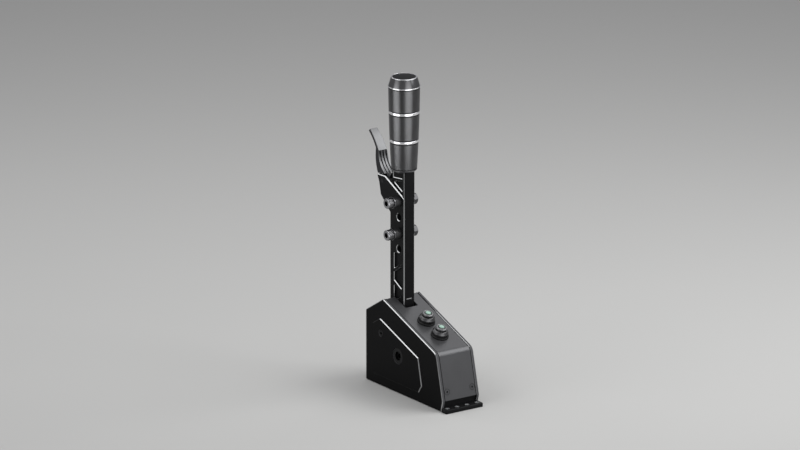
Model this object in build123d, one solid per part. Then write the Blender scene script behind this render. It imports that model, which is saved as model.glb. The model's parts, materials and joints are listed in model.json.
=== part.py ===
"""Sequential gear shifter for a driving simulator: a steel and aluminium lever on a low sloped housing."""

from build123d import *
import os
from math import atan2, cos, degrees, hypot, pi, radians, sin, sqrt, tan

os.makedirs("parts", exist_ok=True)

# Sizes are in millimetres. X points right, Y to the rear and Z up. The driver sits in front, at -Y.
# f is the distance in front of the grip's axis, so Y = -f, and side views are drawn as (f, z).

# Clearances
seat_gap = 0.05
running_gap = 0.04
bolt_gap = 0.4
moving_gap = 0.35

# Housing, seen from the side
base_half_width = 27.2
side_plate_thickness = 3.8
plate_edge_chamfer = 0.8
plate_inner_chamfer = 0.3
rear_f = -42.0
apex_f = -5.8
apex_z = 110.8
top_slope = 20.2
rear_slope = 31.3
nose_f = 105.5
nose_radius = 11.0
apex_radius = 3.0
front_lean = 13.6
front_bottom_z = 13.3
toe_setback = 3.3
corner_radius = 1.5

# Raised panel on the outside of each side plate
panel_height = 1.0
panel_drop = 27.5
panel_rear_drop = 22.2
panel_rear_f = -27.0
panel_top_front_f = 69.0
panel_waist_f = 76.5
panel_waist_z = 22.0
panel_bottom_f = 70.0
panel_bottom_z = 12.3
panel_apex_radius = 4.0
panel_chamfer = 0.9

# Base plate and its front lip
base_thickness = 4.7
lip_length = 11.4
lip_hole_radius = 2.75
lip_hole_setback = 5.8
lip_hole_edge = 5.6
mount_hole_radius = 2.5
mount_hole_x = 10.0
mount_rear_f = -5.0
mount_pitch = 70.0

# Bent covers
cover_side_gap = 0.9
cover_recess = 0.4
cover_thickness = 2.0
cover_split_drop = 5.0
rear_cover_bottom_gap = 0.3
slot_half_width = 9.3
slot_front_gap = 5.4
slot_rear_gap = 6.0
slot_corner_radius = 1.5

# Countersunk cover and base screws
screw_inset = 4.2
cover_screw_z = 23.7
screw_radius = 2.0
screw_head_radius = 3.9
screw_head_height = 2.3
screw_length = 10.0
screw_socket_width = 2.5
screw_socket_depth = 1.6

# Cross blocks and the feet inside the side plates
front_block_depth = 11.0
front_block_wall = 9.3
spring_block_depth = 7.5
spring_block_wall = 4.0
block_arch_gap = 1.6
block_arch_top = 13.4
foot_length = 9.0
foot_reach = 8.0
foot_height = 9.0
rear_foot_setback = 22.0
front_foot_setback = 31.0

# Lever
lever_width = 15.8
lever_rear_f = -18.6
lever_front_f = 11.1
lever_chamfer = 1.0
lever_reach = 165.3
hole_pitch = 20.0
hole_count = 4
adjust_hole_radius = 4.5
fork_half_gap = 3.5
fork_depth = 14.3
front_wall = 4.3
rim_rear_f = -9.7
rim_front_f = 6.0
pocket_depth = 2.5
pocket_chamfer = 0.7
pocket_radius = 0.8
mark_rise = 43.8
mark_width = 8.0
mark_height = 1.4
mark_depth = 0.6

# Forked top of the lever, and its lobes as (f, z) from the trigger's pin
fork_wall = 4.7
shoulder_setback = 1.3
shoulder_rise = 1.4
lobe_front_top = (6.4, 7.4)
lobe_rear_top = (-11.0, 6.8)
lobe_notch = (-6.5, -2.7)
lobe_low = (-3.2, -17.9)
lobe_root_drop = 35.5
lobe_radius = 2.0

# Pockets in the lever's flanks: how far the rear and front ends of their lower and upper edges
# lie below the lowest clamp hole
upper_pocket = ((26.5, 17.1), (7.3, 7.3))
middle_pocket = ((41.3, 49.7), (31.2, 21.3))
lower_pocket = ((67.3, 57.9), (47.3, 55.8))

# Neck of the handle bracket, and its two pockets as (f, drop below the grip)
neck_length = 33.1
neck_half_width = 4.5
neck_flange_depth = 4.2
neck_pocket_depth = 1.5
neck_upper_pocket = ((-16.0, 11.6), (-16.0, 1.2), (6.0, 1.2), (6.0, 9.2))
neck_lower_pocket = ((-15.2, 16.9), (6.0, 12.6), (6.0, 27.4))

# Pivot of the lever
pivot_f = -8.8
pivot_z = 67.0
shift_angle = 5.0
pivot_shaft_radius = 5.0
pivot_hub_radius = 13.0
bush_radius = 7.0
bush_flange_radius = 8.6
bush_flange = 1.5
bush_length = 6.0
pivot_screw_radius = 2.5
pivot_head_radius = 4.25
pivot_head_height = 3.0
pivot_screw_length = 14.0

# Stop shaft through both side plates
stop_f = 26.9
stop_z = 47.2
stop_shaft_radius = 6.0
stop_head_radius = 10.0
stop_head_height = 3.6
stop_recess_radius = 5.8
stop_recess_depth = 2.4
stop_sleeve_radius = 7.2
stop_sleeve_length = 16.0
stop_arm_wall = 4.0
stop_arm_taper = 4.0
stop_arm_shoulder = 7.0

# Tail and centring springs
tail_rear_f = -13.5
tail_front_f = 1.5
tail_bottom_z = 12.8
tail_drop = 29.0
guide_z = 21.0
guide_radius = 3.0
guide_hole_radius = 4.6
guide_nut_width = 10.0
guide_nut_height = 4.8
spring_radius = 6.5
spring_wire = 1.8
spring_length = 18.9
spring_turns = 6

# Trigger and its pin, which sits behind and above the top clamp hole
trigger_pin_back = 35.5
trigger_pin_rise = 17.2
trigger_pin_radius = 2.5
trigger_half_width = 7.9
trigger_top_half_width = 5.4
trigger_lip_rise = 35.4
trigger_stem_setback = 0.9
trigger_chamfer = 0.5
trigger_flute_width = 2.8
trigger_flute_depth = 2.4
trigger_rib_pitch = 4.2
trigger_lug_half_width = 3.1
trigger_lug_radius = 5.0
stem_mouth_f = 15.5

# Trigger's side outline, as (f, z) from its pin: front and rear curves from the top down
trigger_front = [(-28.2, 58.1), (-18.0, 47.8), (-8.7, 34.7), (-4.3, 21.3), (6.7, 10.1)]
trigger_rear = [(-31.1, 54.9), (-22.1, 46.7), (-15.1, 37.5), (-13.9, 20.5), (-8.9, 7.9)]

# Trigger's toe and its return spring, from the pin
toe_reach = 15.0
toe_top_drop = 3.3
toe_bottom_drop = 9.0
hood_gap = 3.0
return_spring_reach = 8.5
return_spring_radius = 2.4
return_spring_wire = 0.7
return_spring_turns = 7
ledge_drop = 19.5
ledge_height = 5.0

# Grip
grip_bottom_radius = 15.6
grip_top_radius = 19.3
grip_bulge = 0.63
grip_bore = 7.1
spigot_radius = 7.0
ring_height = 3.4
ring_proud = 0.3
sleeve_lengths = {"lower": 33.7, "middle": 32.2, "upper": 29.5}
collar_height = 3.0
collar_chamfer = 1.8
sleeve_chamfer = 0.5
crown_height = 11.2
crown_top_radius = 15.8
crown_ring_height = 1.3
cap_radius = 14.1
cap_depth = 1.6
grip_screw_radius = 3.0
grip_screw_head_radius = 5.0
grip_screw_head_height = 5.5
grip_screw_length = 24.0

# Clamp bolts
bolt_radius = 4.0
bolt_head_radius = 6.5
bolt_head_height = 8.0
bolt_socket_width = 6.0
bolt_socket_depth = 4.5
washer_radius = 7.2
washer_thickness = 1.6
spacer_radius = 6.4
spacer_length = 8.9
nut_width = 13.0
nut_height = 6.8
nut_round = 0.55
bolt_end = 1.2

# Push buttons
button_places = {"upper": 46.4, "lower": 74.5}
button_skirt_radius = 11.0
button_skirt_height = 5.8
button_flange_height = 1.8
button_ridge_radius = 10.0
button_collar_radius = 7.8
button_collar_height = 3.2
button_barrel_radius = 8.0
button_barrel_length = 15.0
button_cap_radius = 6.9
button_cap_height = 2.4
button_neck_radius = 5.6
button_travel = 1.2
button_lens_radius = 4.4
button_lens_rise = 0.65
button_nut_width = 19.0
button_nut_height = 2.6
button_switch_width = 13.0
button_switch_height = 7.0

# Electronics
board_foot_gap = 3.6
board_thickness = 1.6
board_rear_gap = 3.6
board_length = 94.4
standoff_height = 3.0
standoff_radius = 2.5
standoff_side_inset = 3.0
standoff_rear_inset = 12.4
standoff_front_inset = 6.0
board_screw_radius = 1.1
board_screw_head_radius = 2.0
board_screw_head_height = 1.2
sensor_size = (4.0, 3.0, 1.1)
magnet_radius = 3.0
magnet_height = 3.0
socket_width = 8.9
socket_height = 3.2
socket_length = 7.4
socket_wall = 0.4
socket_opening_gap = 0.6

# Values worked out from the sizes above
plate_inner_x = base_half_width - side_plate_thickness
panel_face_x = base_half_width + panel_height
cover_half_width = plate_inner_x - cover_side_gap
rear_top_z = apex_z - (apex_f - rear_f) * tan(radians(rear_slope))
nose_z = apex_z - (nose_f - apex_f) * tan(radians(top_slope))
front_bottom_f = nose_f + (nose_z - front_bottom_z) * tan(radians(front_lean))
toe_f = front_bottom_f - toe_setback
cover_inset = cover_recess + cover_thickness
panel_apex_f = apex_f + (panel_rear_drop - panel_drop) / (tan(radians(top_slope)) + tan(radians(rear_slope)))
lever_half_width = lever_width / 2
rear_block_f = rear_f + cover_inset + seat_gap
front_spring_block_f = tail_front_f + spring_length
lip_outer_x = base_half_width - lip_hole_edge
lip_hole_places = [-lip_outer_x, -lip_outer_x / 3, lip_outer_x / 3, lip_outer_x]
cover_screw_x = cover_half_width - screw_inset
base_screw_x = plate_inner_x - screw_inset
front_block_top = cover_screw_z + front_block_wall
spring_block_top = max(cover_screw_z, guide_z + guide_radius) + spring_block_wall
front_foot_f = toe_f - front_foot_setback
middle_foot_f = (front_spring_block_f + spring_block_depth / 2 + front_foot_f) / 2
foot_places = (rear_f + rear_foot_setback, middle_foot_f, front_foot_f)
board_half_width = plate_inner_x - foot_reach - board_foot_gap
board_rear_f = rear_f + board_rear_gap
board_front_f = board_rear_f + board_length
standoff_low_f = board_rear_f + standoff_rear_inset
standoff_high_f = board_front_f - standoff_front_inset
standoff_x = board_half_width - standoff_side_inset
standoff_places = (standoff_low_f, (standoff_low_f + standoff_high_f) / 2, standoff_high_f)
tail_top_z = pivot_z - tail_drop
top_hole_z = pivot_z + lever_reach
lever_holes = [top_hole_z - hole_pitch * i for i in range(hole_count)]
bolt_holes = lever_holes[0::2]
fork_bottom_z = lever_holes[-1] - fork_depth
fork_front_z = top_hole_z + fork_wall
fork_shoulder_f = lever_front_f - shoulder_setback
fork_shoulder_z = fork_front_z + shoulder_rise
trigger_pivot_f = -trigger_pin_back
trigger_pivot_z = top_hole_z + trigger_pin_rise
lobe_top_z = trigger_pivot_z + lobe_front_top[1]
toe_front_f = trigger_pivot_f + toe_reach
toe_top_z = trigger_pivot_z - toe_top_drop
toe_bottom_z = trigger_pivot_z - toe_bottom_drop
return_spring_f = trigger_pivot_f + return_spring_reach
ledge_top_z = trigger_pivot_z - ledge_drop
grip_bottom_z = fork_front_z + neck_length
sleeve_ends = {}
sleeve_low_z = grip_bottom_z + collar_height
for name, length in sleeve_lengths.items():
    sleeve_ends[name] = (sleeve_low_z, sleeve_low_z + length)
    sleeve_low_z += length + ring_height
grip_top_z = sleeve_ends["upper"][1] + crown_ring_height


# Helpers
def side_face(points, radii=0):
    """A face in the side view with (f, z) corners, each rounded by its radius."""
    flat = [(-f, z) for f, z in points]
    if radii == 0:
        return Plane.YZ * make_face(Polyline(*flat, close=True))
    if not isinstance(radii, (list, tuple)):
        radii = [radii] * len(flat)
    return Plane.YZ * make_face(FilletPolyline(*flat, radius=radii, close=True))


def across(face, x_low, x_high):
    """A side-view face stretched between two X positions."""
    return Pos(x_low, 0, 0) * extrude(face, x_high - x_low, dir=(1, 0, 0))


def rod_x(radius, f, z, x_low, x_high):
    """A round rod along X."""
    return Pos((x_low + x_high) / 2, -f, z) * Rot(0, 90, 0) * Cylinder(radius, x_high - x_low)


def rod_y(radius, x, z, f_low, f_high):
    """A round rod along Y between two distances f."""
    return Pos(x, -(f_low + f_high) / 2, z) * Rot(90, 0, 0) * Cylinder(radius, f_high - f_low)


def rod_z(radius, x, f, z_low, z_high):
    """A round upright rod."""
    return Pos(x, -f, (z_low + z_high) / 2) * Cylinder(radius, z_high - z_low)


def block(x_low, x_high, f_low, f_high, z_low, z_high):
    """A rectangular block between limits in X, f and Z."""
    middle = Pos((x_low + x_high) / 2, -(f_low + f_high) / 2, (z_low + z_high) / 2)
    return middle * Box(x_high - x_low, f_high - f_low, z_high - z_low)


def round_profile(points):
    """A solid turned about Z from (radius, height) corners."""
    return revolve(Plane.XZ * make_face(Polyline(*points, close=True)), Axis.Z)


def hexagon(width, height):
    """A hexagonal prism standing on the XY plane, with its size across flats."""
    return extrude(RegularPolygon(width / 2, 6, major_radius=False), height)


def mirrored(solid):
    """The solid with its mirror image on the other side of the centre plane."""
    return [solid, mirror(solid, about=Plane.YZ)]


def countersunk_screw():
    """A countersunk screw along -Z with its head's face on the XY plane."""
    head = Pos(0, 0, -screw_head_height / 2) * Cone(screw_radius, screw_head_radius, screw_head_height)
    shank = Pos(0, 0, -screw_length / 2) * Cylinder(screw_radius, screw_length)
    socket = Pos(0, 0, -screw_socket_depth) * hexagon(screw_socket_width, screw_socket_depth)
    return head + shank - socket


def countersink(depth):
    """The room that a countersunk screw needs in a wall of this depth, along -Z."""
    head = Cone(screw_radius + seat_gap, screw_head_radius + seat_gap, screw_head_height)
    shank = Pos(0, 0, -depth / 2) * Cylinder(screw_radius + seat_gap, depth)
    return Pos(0, 0, -screw_head_height / 2) * head + shank


def cap_screw(radius, length, head_radius, head_height, socket_width, socket_depth):
    """A socket head screw along -Z, with the underside of its head on the XY plane."""
    head = Pos(0, 0, head_height / 2) * Cylinder(head_radius, head_height)
    head = chamfer(head.edges().filter_by(GeomType.CIRCLE).sort_by(Axis.Z)[-1], head_radius * 0.12)
    shank = Pos(0, 0, -length / 2) * Cylinder(radius, length)
    socket = Pos(0, 0, head_height - socket_depth) * hexagon(socket_width, socket_depth)
    return head + shank - socket


def save(name, *solids):
    """Write one node, whose solids are separate pieces."""
    shapes = [piece for solid in solids for piece in solid.solids()]
    node = shapes[0] if len(shapes) == 1 else Compound(shapes)
    export_step(node, f"parts/{name}.step")


# Housing
plate_corners = [
    (rear_f, 0),
    (rear_f, rear_top_z),
    (apex_f, apex_z),
    (nose_f, nose_z),
    (front_bottom_f, front_bottom_z),
    (toe_f, 0),
]
plate_radii = [corner_radius, corner_radius, apex_radius, nose_radius, corner_radius, corner_radius]


def slope_z(f, drop=0):
    """Height of the top slope, or of a line below it, at a distance f."""
    return apex_z - drop - (f - apex_f) * tan(radians(top_slope))


def rear_slope_z(f, drop=0):
    """Height of the rear slope, or of a line below it, at a distance f."""
    return apex_z - drop - (apex_f - f) * tan(radians(rear_slope))


def on_slope(f, depth=0):
    """The place on the top slope at a distance f, with Z square to the cover's outer face."""
    lean = radians(top_slope)
    face_drop = cover_recess / cos(lean)
    start = Vector(0, -f, slope_z(f, face_drop))
    normal = Vector(0, -sin(lean), cos(lean))
    return Plane(origin=start - normal * depth, x_dir=(1, 0, 0), z_dir=normal)


def on_front(x, z):
    """The place on the front face of the cover, with Z pointing out of it."""
    lean = radians(front_lean)
    f = nose_f + (nose_z - z) * tan(lean) - cover_recess / cos(lean)
    return Plane(origin=(x, -f, z), x_dir=(1, 0, 0), z_dir=(0, -cos(lean), sin(lean)))


def on_rear(x, z):
    """The place on the outer face of the rear cover, with Z pointing to the rear."""
    return Plane(origin=(x, -rear_f - cover_recess, z), x_dir=(1, 0, 0), z_dir=(0, 1, 0))


def side_plate():
    """The left side plate, with its raised panel outside and its screw feet inside."""
    wall = across(side_face(plate_corners, plate_radii), -base_half_width, -plate_inner_x)
    wall = chamfer(wall.faces().sort_by(Axis.X)[0].edges(), plate_edge_chamfer)
    wall = chamfer(wall.faces().sort_by(Axis.X)[-1].edges(), plate_inner_chamfer)
    panel_corners = [
        (panel_rear_f, panel_bottom_z),
        (panel_rear_f, rear_slope_z(panel_rear_f, panel_rear_drop)),
        (panel_apex_f, slope_z(panel_apex_f, panel_drop)),
        (panel_top_front_f, slope_z(panel_top_front_f, panel_drop)),
        (panel_waist_f, panel_waist_z),
        (panel_bottom_f, panel_bottom_z),
    ]
    panel_radii = [corner_radius] * 2 + [panel_apex_radius] + [corner_radius] * 3
    panel = across(side_face(panel_corners, panel_radii), -panel_face_x, -base_half_width)
    panel = chamfer(panel.faces().sort_by(Axis.X)[0].edges(), panel_chamfer)
    plate = wall + panel
    for f in foot_places:
        foot_top = base_thickness + foot_height
        plate += block(-plate_inner_x, -plate_inner_x + foot_reach, f - foot_length / 2,
                       f + foot_length / 2, base_thickness + seat_gap, foot_top)
        plate -= rod_z(screw_radius, -base_screw_x, f, 0, foot_top - 1)
    plate -= rod_x(stop_shaft_radius + seat_gap, stop_f, stop_z, -panel_face_x, -plate_inner_x)
    plate -= rod_x(stop_head_radius + seat_gap, stop_f, stop_z, -panel_face_x,
                   -panel_face_x + stop_head_height + cover_recess)
    plate -= rod_x(pivot_screw_radius + bolt_gap, pivot_f, pivot_z, -panel_face_x, -plate_inner_x)
    plate -= rod_x(pivot_head_radius + bolt_gap, pivot_f, pivot_z, -panel_face_x,
                   -panel_face_x + pivot_head_height + cover_recess)
    return plate


def base_plate():
    """The base plate between the side plates, with the wide lip in front."""
    lip_start_f = toe_f + toe_setback * base_thickness / front_bottom_z + seat_gap
    lip_front_f = toe_f + lip_length
    inner = plate_inner_x - seat_gap
    plate = block(-inner, inner, rear_f, lip_start_f, 0, base_thickness)
    lip = block(-base_half_width, base_half_width, lip_start_f, lip_front_f, 0, base_thickness)
    lip = fillet(lip.edges().filter_by(Axis.Z).sort_by(Axis.Y)[:2], corner_radius)
    plate = plate + lip
    plate = chamfer(plate.faces().sort_by(Axis.Y)[0].edges().sort_by(Axis.Z)[-1], corner_radius / 2)
    for x in lip_hole_places:
        plate -= rod_z(lip_hole_radius, x, lip_front_f - lip_hole_setback, 0, base_thickness)
    for x in (-mount_hole_x, mount_hole_x):
        for f in (mount_rear_f, mount_rear_f + mount_pitch):
            plate -= rod_z(mount_hole_radius, x, f, 0, base_thickness)
    for x, f in base_screw_places():
        plate -= Pos(x, -f, 0) * Rot(180, 0, 0) * countersink(base_thickness)
    return plate


def base_screw_places():
    """Places of the screws under the base, as (x, f)."""
    half = spring_block_depth / 2
    rows = (rear_block_f + half, front_spring_block_f + half, toe_f - front_block_depth) + foot_places
    return [(side * base_screw_x, f) for f in rows for side in (-1, 1)]


def cover_sheet():
    """The bent sheet that follows the side plates' edge all round, just inside it."""
    outline = side_face(plate_corners, plate_radii)
    outer = offset(outline, -cover_recess)
    inner = offset(outline, -cover_inset)
    return across(outer - inner, -cover_half_width, cover_half_width)


def top_cover(sheet):
    """Front face, nose bend, top slope and rear slope, bent from one sheet."""
    split_z = rear_top_z - cover_split_drop
    keep = block(-base_half_width, base_half_width, rear_f, front_bottom_f, split_z, apex_z)
    keep += block(-base_half_width, base_half_width, nose_f - front_block_depth, front_bottom_f,
                  front_bottom_z, apex_z)
    keep += block(-base_half_width, base_half_width, apex_f, nose_f, nose_z - nose_radius, apex_z)
    cover = sheet & keep
    slot = block(-slot_half_width, slot_half_width, lever_rear_f - slot_rear_gap,
                 lever_front_f + slot_front_gap, rear_top_z - cover_split_drop, apex_z)
    slot = fillet(slot.edges().filter_by(Axis.Z), slot_corner_radius)
    cover -= slot
    for f in button_places.values():
        cover -= on_slope(f).location * Cylinder(button_barrel_radius + seat_gap, 4 * cover_thickness)
    for x in (-cover_screw_x, cover_screw_x):
        cover -= on_front(x, cover_screw_z).location * countersink(2 * cover_thickness)
    return cover


def rear_cover(sheet):
    """The upright rear wall, with the window of the cable socket."""
    split_z = rear_top_z - cover_split_drop
    low_z = base_thickness + rear_cover_bottom_gap
    wall = sheet & block(-base_half_width, base_half_width, rear_f, rear_f + 2 * cover_inset,
                         low_z, split_z - cover_recess)
    window_z = base_thickness + standoff_height + board_thickness + socket_height / 2
    window = block(-socket_width / 2 - socket_opening_gap, socket_width / 2 + socket_opening_gap,
                   rear_f, rear_f + 2 * cover_inset,
                   window_z - socket_height / 2 - socket_opening_gap,
                   window_z + socket_height / 2 + socket_opening_gap)
    wall -= fillet(window.edges().filter_by(Axis.Y), socket_height / 3)
    for x in (-cover_screw_x, cover_screw_x):
        wall -= on_rear(x, cover_screw_z).location * countersink(2 * cover_thickness)
    return wall


def front_block():
    """The cross block behind the front face, which takes the two front screws."""
    lean = tan(radians(front_lean))
    inset = cover_inset / cos(radians(front_lean)) + seat_gap
    low_z = base_thickness + seat_gap
    front_low = nose_f + (nose_z - low_z) * lean - inset
    front_high = nose_f + (nose_z - front_block_top) * lean - inset
    back_f = front_high - front_block_depth
    corners = [(back_f, low_z), (back_f, front_block_top), (front_high, front_block_top),
               (min(front_low, toe_f), low_z + (front_low - toe_f) / lean), (toe_f, low_z)]
    body = across(side_face(corners), -plate_inner_x + seat_gap, plate_inner_x - seat_gap)
    for x in (-cover_screw_x, cover_screw_x):
        body -= on_front(x, cover_screw_z).location * countersink(screw_length + 1)
    for x in (-base_screw_x, base_screw_x):
        body -= rod_z(screw_radius, x, toe_f - front_block_depth, base_thickness, screw_length + 1)
    return body


def spring_block(f_low):
    """A cross block for one end of the centring springs, arched over the board."""
    f_high = f_low + spring_block_depth
    body = block(-plate_inner_x + seat_gap, plate_inner_x - seat_gap, f_low, f_high,
                 base_thickness + seat_gap, spring_block_top)
    arch = board_half_width + block_arch_gap
    body -= block(-arch, arch, f_low, f_high, base_thickness, block_arch_top)
    body -= rod_y(guide_radius + seat_gap, 0, guide_z, f_low, f_high)
    for x in (-base_screw_x, base_screw_x):
        body -= rod_z(screw_radius, x, (f_low + f_high) / 2, base_thickness, screw_length + 1)
    return body


def from_pin(place):
    """A place given from the trigger's pin, as (f, z) in the whole part."""
    return (trigger_pivot_f + place[0], trigger_pivot_z + place[1])


def window_slot(radius):
    """A slot round the stop shaft that runs along the lever's swing, with this end radius."""
    reach = hypot(stop_f - pivot_f, stop_z - pivot_z)
    swing = 2 * (reach * sin(radians(shift_angle)) + moving_gap)
    tilt = degrees(atan2(stop_f - pivot_f, pivot_z - stop_z))
    slot = SlotCenterToCenter(swing, 2 * radius, rotation=180 - tilt)
    return Plane.YZ * (Pos(-stop_f, stop_z) * slot)


def pocket(edges, depth):
    """A blind pocket in both flanks of the lever."""
    (low_rear, low_front), (high_rear, high_front) = edges
    top_z = lever_holes[-1]
    corners = [(rim_rear_f, top_z - low_rear), (rim_rear_f, top_z - high_rear),
               (rim_front_f, top_z - high_front), (rim_front_f, top_z - low_front)]
    face = side_face(corners, pocket_radius)
    floor_x = lever_half_width - depth
    return across(face, -lever_half_width, -floor_x) + across(face, floor_x, lever_half_width)


def side_faces(solid):
    """The outermost flat faces of a solid at its lowest and highest X."""
    ordered = solid.faces().sort_by(Axis.X)
    return ordered[0], ordered[-1]


def lever_beam():
    """The machined lever: tail, pivot hub, stop window, pocketed beam and forked top."""
    corners = [
        (lever_front_f, fork_front_z),
        (fork_shoulder_f, fork_shoulder_z),
        from_pin(lobe_front_top),
        from_pin(lobe_rear_top),
        from_pin(lobe_notch),
        from_pin(lobe_low),
        (lever_rear_f, trigger_pivot_z - lobe_root_drop),
        (lever_rear_f, pivot_z),
        (tail_rear_f, tail_top_z),
        (tail_rear_f, tail_bottom_z),
        (tail_front_f, tail_bottom_z),
        (tail_front_f, tail_top_z),
        (lever_front_f, pivot_z),
    ]
    bend = 2 * lever_chamfer
    radii = [0, bend] + [lobe_radius] * 5 + [bend] * 6
    beam = across(side_face(corners, radii), -lever_half_width, lever_half_width)
    for z in lever_holes:
        beam -= rod_x(adjust_hole_radius, 0, z, -lever_half_width, lever_half_width)
    for edges in (upper_pocket, middle_pocket, lower_pocket):
        beam -= pocket(edges, pocket_depth)
    for index in (0, -1):
        rims = side_faces(beam)[index].inner_wires().edges()
        beam = chamfer(rims, pocket_chamfer)
        beam = chamfer(side_faces(beam)[index].outer_wire().edges(), lever_chamfer)
    mark = Pos(0, -lever_front_f, pivot_z + mark_rise) * Box(mark_width, 2 * mark_depth, mark_height)
    beam -= fillet(mark.edges().filter_by(Axis.Y), mark_height * 0.45)
    window_radius = stop_sleeve_radius + moving_gap
    rim = window_slot(window_radius + stop_arm_wall)
    box = rim.bounding_box()
    arm = side_face([
        (pivot_f, pivot_z + pivot_hub_radius - stop_arm_taper),
        (lever_front_f, pivot_z + stop_arm_shoulder),
        (stop_f + stop_arm_taper, box.max.Z - pocket_radius),
        (stop_f - stop_arm_taper, box.min.Z + pocket_radius),
        (tail_front_f, box.min.Z + pocket_radius),
        (pivot_f, tail_top_z),
    ])
    beam += across(arm + rim, -lever_half_width, lever_half_width)
    beam += rod_x(pivot_hub_radius, pivot_f, pivot_z, -lever_half_width, lever_half_width)
    beam -= across(window_slot(window_radius), -lever_half_width, lever_half_width)
    beam -= block(-fork_half_gap, fork_half_gap, from_pin(lobe_rear_top)[0] - 1, lever_front_f - front_wall,
                  fork_bottom_z, lobe_top_z + 1)
    beam -= rod_x(pivot_shaft_radius + bolt_gap, pivot_f, pivot_z, -lever_half_width, lever_half_width)
    for side in (-1, 1):
        beam -= rod_x(bush_radius + seat_gap / 2, pivot_f, pivot_z, *sorted(
            (side * (lever_half_width - bush_length), side * lever_half_width)))
    beam -= rod_y(guide_hole_radius, 0, guide_z, tail_rear_f - 1, tail_front_f + 1)
    beam -= rod_z(magnet_radius + seat_gap / 2, 0, (tail_rear_f + tail_front_f) / 2, tail_bottom_z,
                  tail_bottom_z + magnet_height)
    beam -= rod_x(trigger_pin_radius + seat_gap / 2, trigger_pivot_f, trigger_pivot_z,
                  -lever_half_width, lever_half_width)
    return beam


def seam_z(f):
    """Height of the fork's slanted top at a distance f."""
    rise = (lobe_top_z - fork_shoulder_z) / (fork_shoulder_f - from_pin(lobe_front_top)[0])
    return fork_shoulder_z + (fork_shoulder_f - f) * rise


def handle_bracket():
    """The tongue in the fork, the neck above it and the round spigot for the grip."""
    tongue_front_f = lever_front_f - front_wall - seat_gap
    tongue_rear_f = lever_rear_f + seat_gap
    hood_f = toe_front_f - hood_gap
    tongue = across(side_face([
        (tongue_rear_f, lever_holes[-1] - 2 * adjust_hole_radius),
        (tongue_rear_f, ledge_top_z - ledge_height),
        (return_spring_f - 2 * return_spring_radius, ledge_top_z - ledge_height),
        (return_spring_f - 2 * return_spring_radius, ledge_top_z),
        (tongue_rear_f, ledge_top_z),
        (tongue_rear_f, toe_top_z + moving_gap),
        (hood_f, toe_top_z + moving_gap),
        (hood_f, seam_z(hood_f)),
        (tongue_front_f, seam_z(tongue_front_f) + neck_half_width / 2),
        (tongue_front_f, lever_holes[-1] - 2 * adjust_hole_radius),
    ]), -fork_half_gap + seat_gap, fork_half_gap - seat_gap)
    seam = seat_gap * 1.5
    outline = side_face([
        (lever_rear_f, seam_z(lever_rear_f) + seam),
        (lever_rear_f, grip_bottom_z),
        (lever_front_f, grip_bottom_z),
        (lever_front_f, fork_front_z + seam),
        (fork_shoulder_f, fork_shoulder_z + seam),
    ])
    neck = across(outline, -neck_half_width, neck_half_width)
    flange = outline & across(side_face([
        (lever_front_f - neck_flange_depth, fork_front_z),
        (lever_front_f - neck_flange_depth, grip_bottom_z),
        (lever_front_f, grip_bottom_z),
        (lever_front_f, fork_front_z),
    ]), -1, 1)
    flange = across(flange, -lever_half_width, lever_half_width)
    for index in (0, -1):
        flange = chamfer(side_faces(flange)[index].edges().filter_by(Axis.Z), lever_chamfer / 2)
    floor_x = neck_half_width - neck_pocket_depth
    for places in (neck_upper_pocket, neck_lower_pocket):
        face = side_face([(f, grip_bottom_z - drop) for f, drop in places], pocket_radius)
        neck -= across(face, -neck_half_width, -floor_x)
        neck -= across(face, floor_x, neck_half_width)
    for index in (0, -1):
        neck = chamfer(side_faces(neck)[index].inner_wires().edges(), pocket_chamfer)
    bracket = neck + flange + tongue
    bracket += rod_z(spigot_radius, 0, 0, grip_bottom_z, grip_top_z - crown_ring_height - 1)
    bracket -= rod_z(grip_screw_radius, 0, 0, grip_top_z - grip_screw_length, grip_top_z)
    for z in lever_holes:
        bracket -= rod_x(adjust_hole_radius, 0, z, -fork_half_gap, fork_half_gap)
    return bracket


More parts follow.
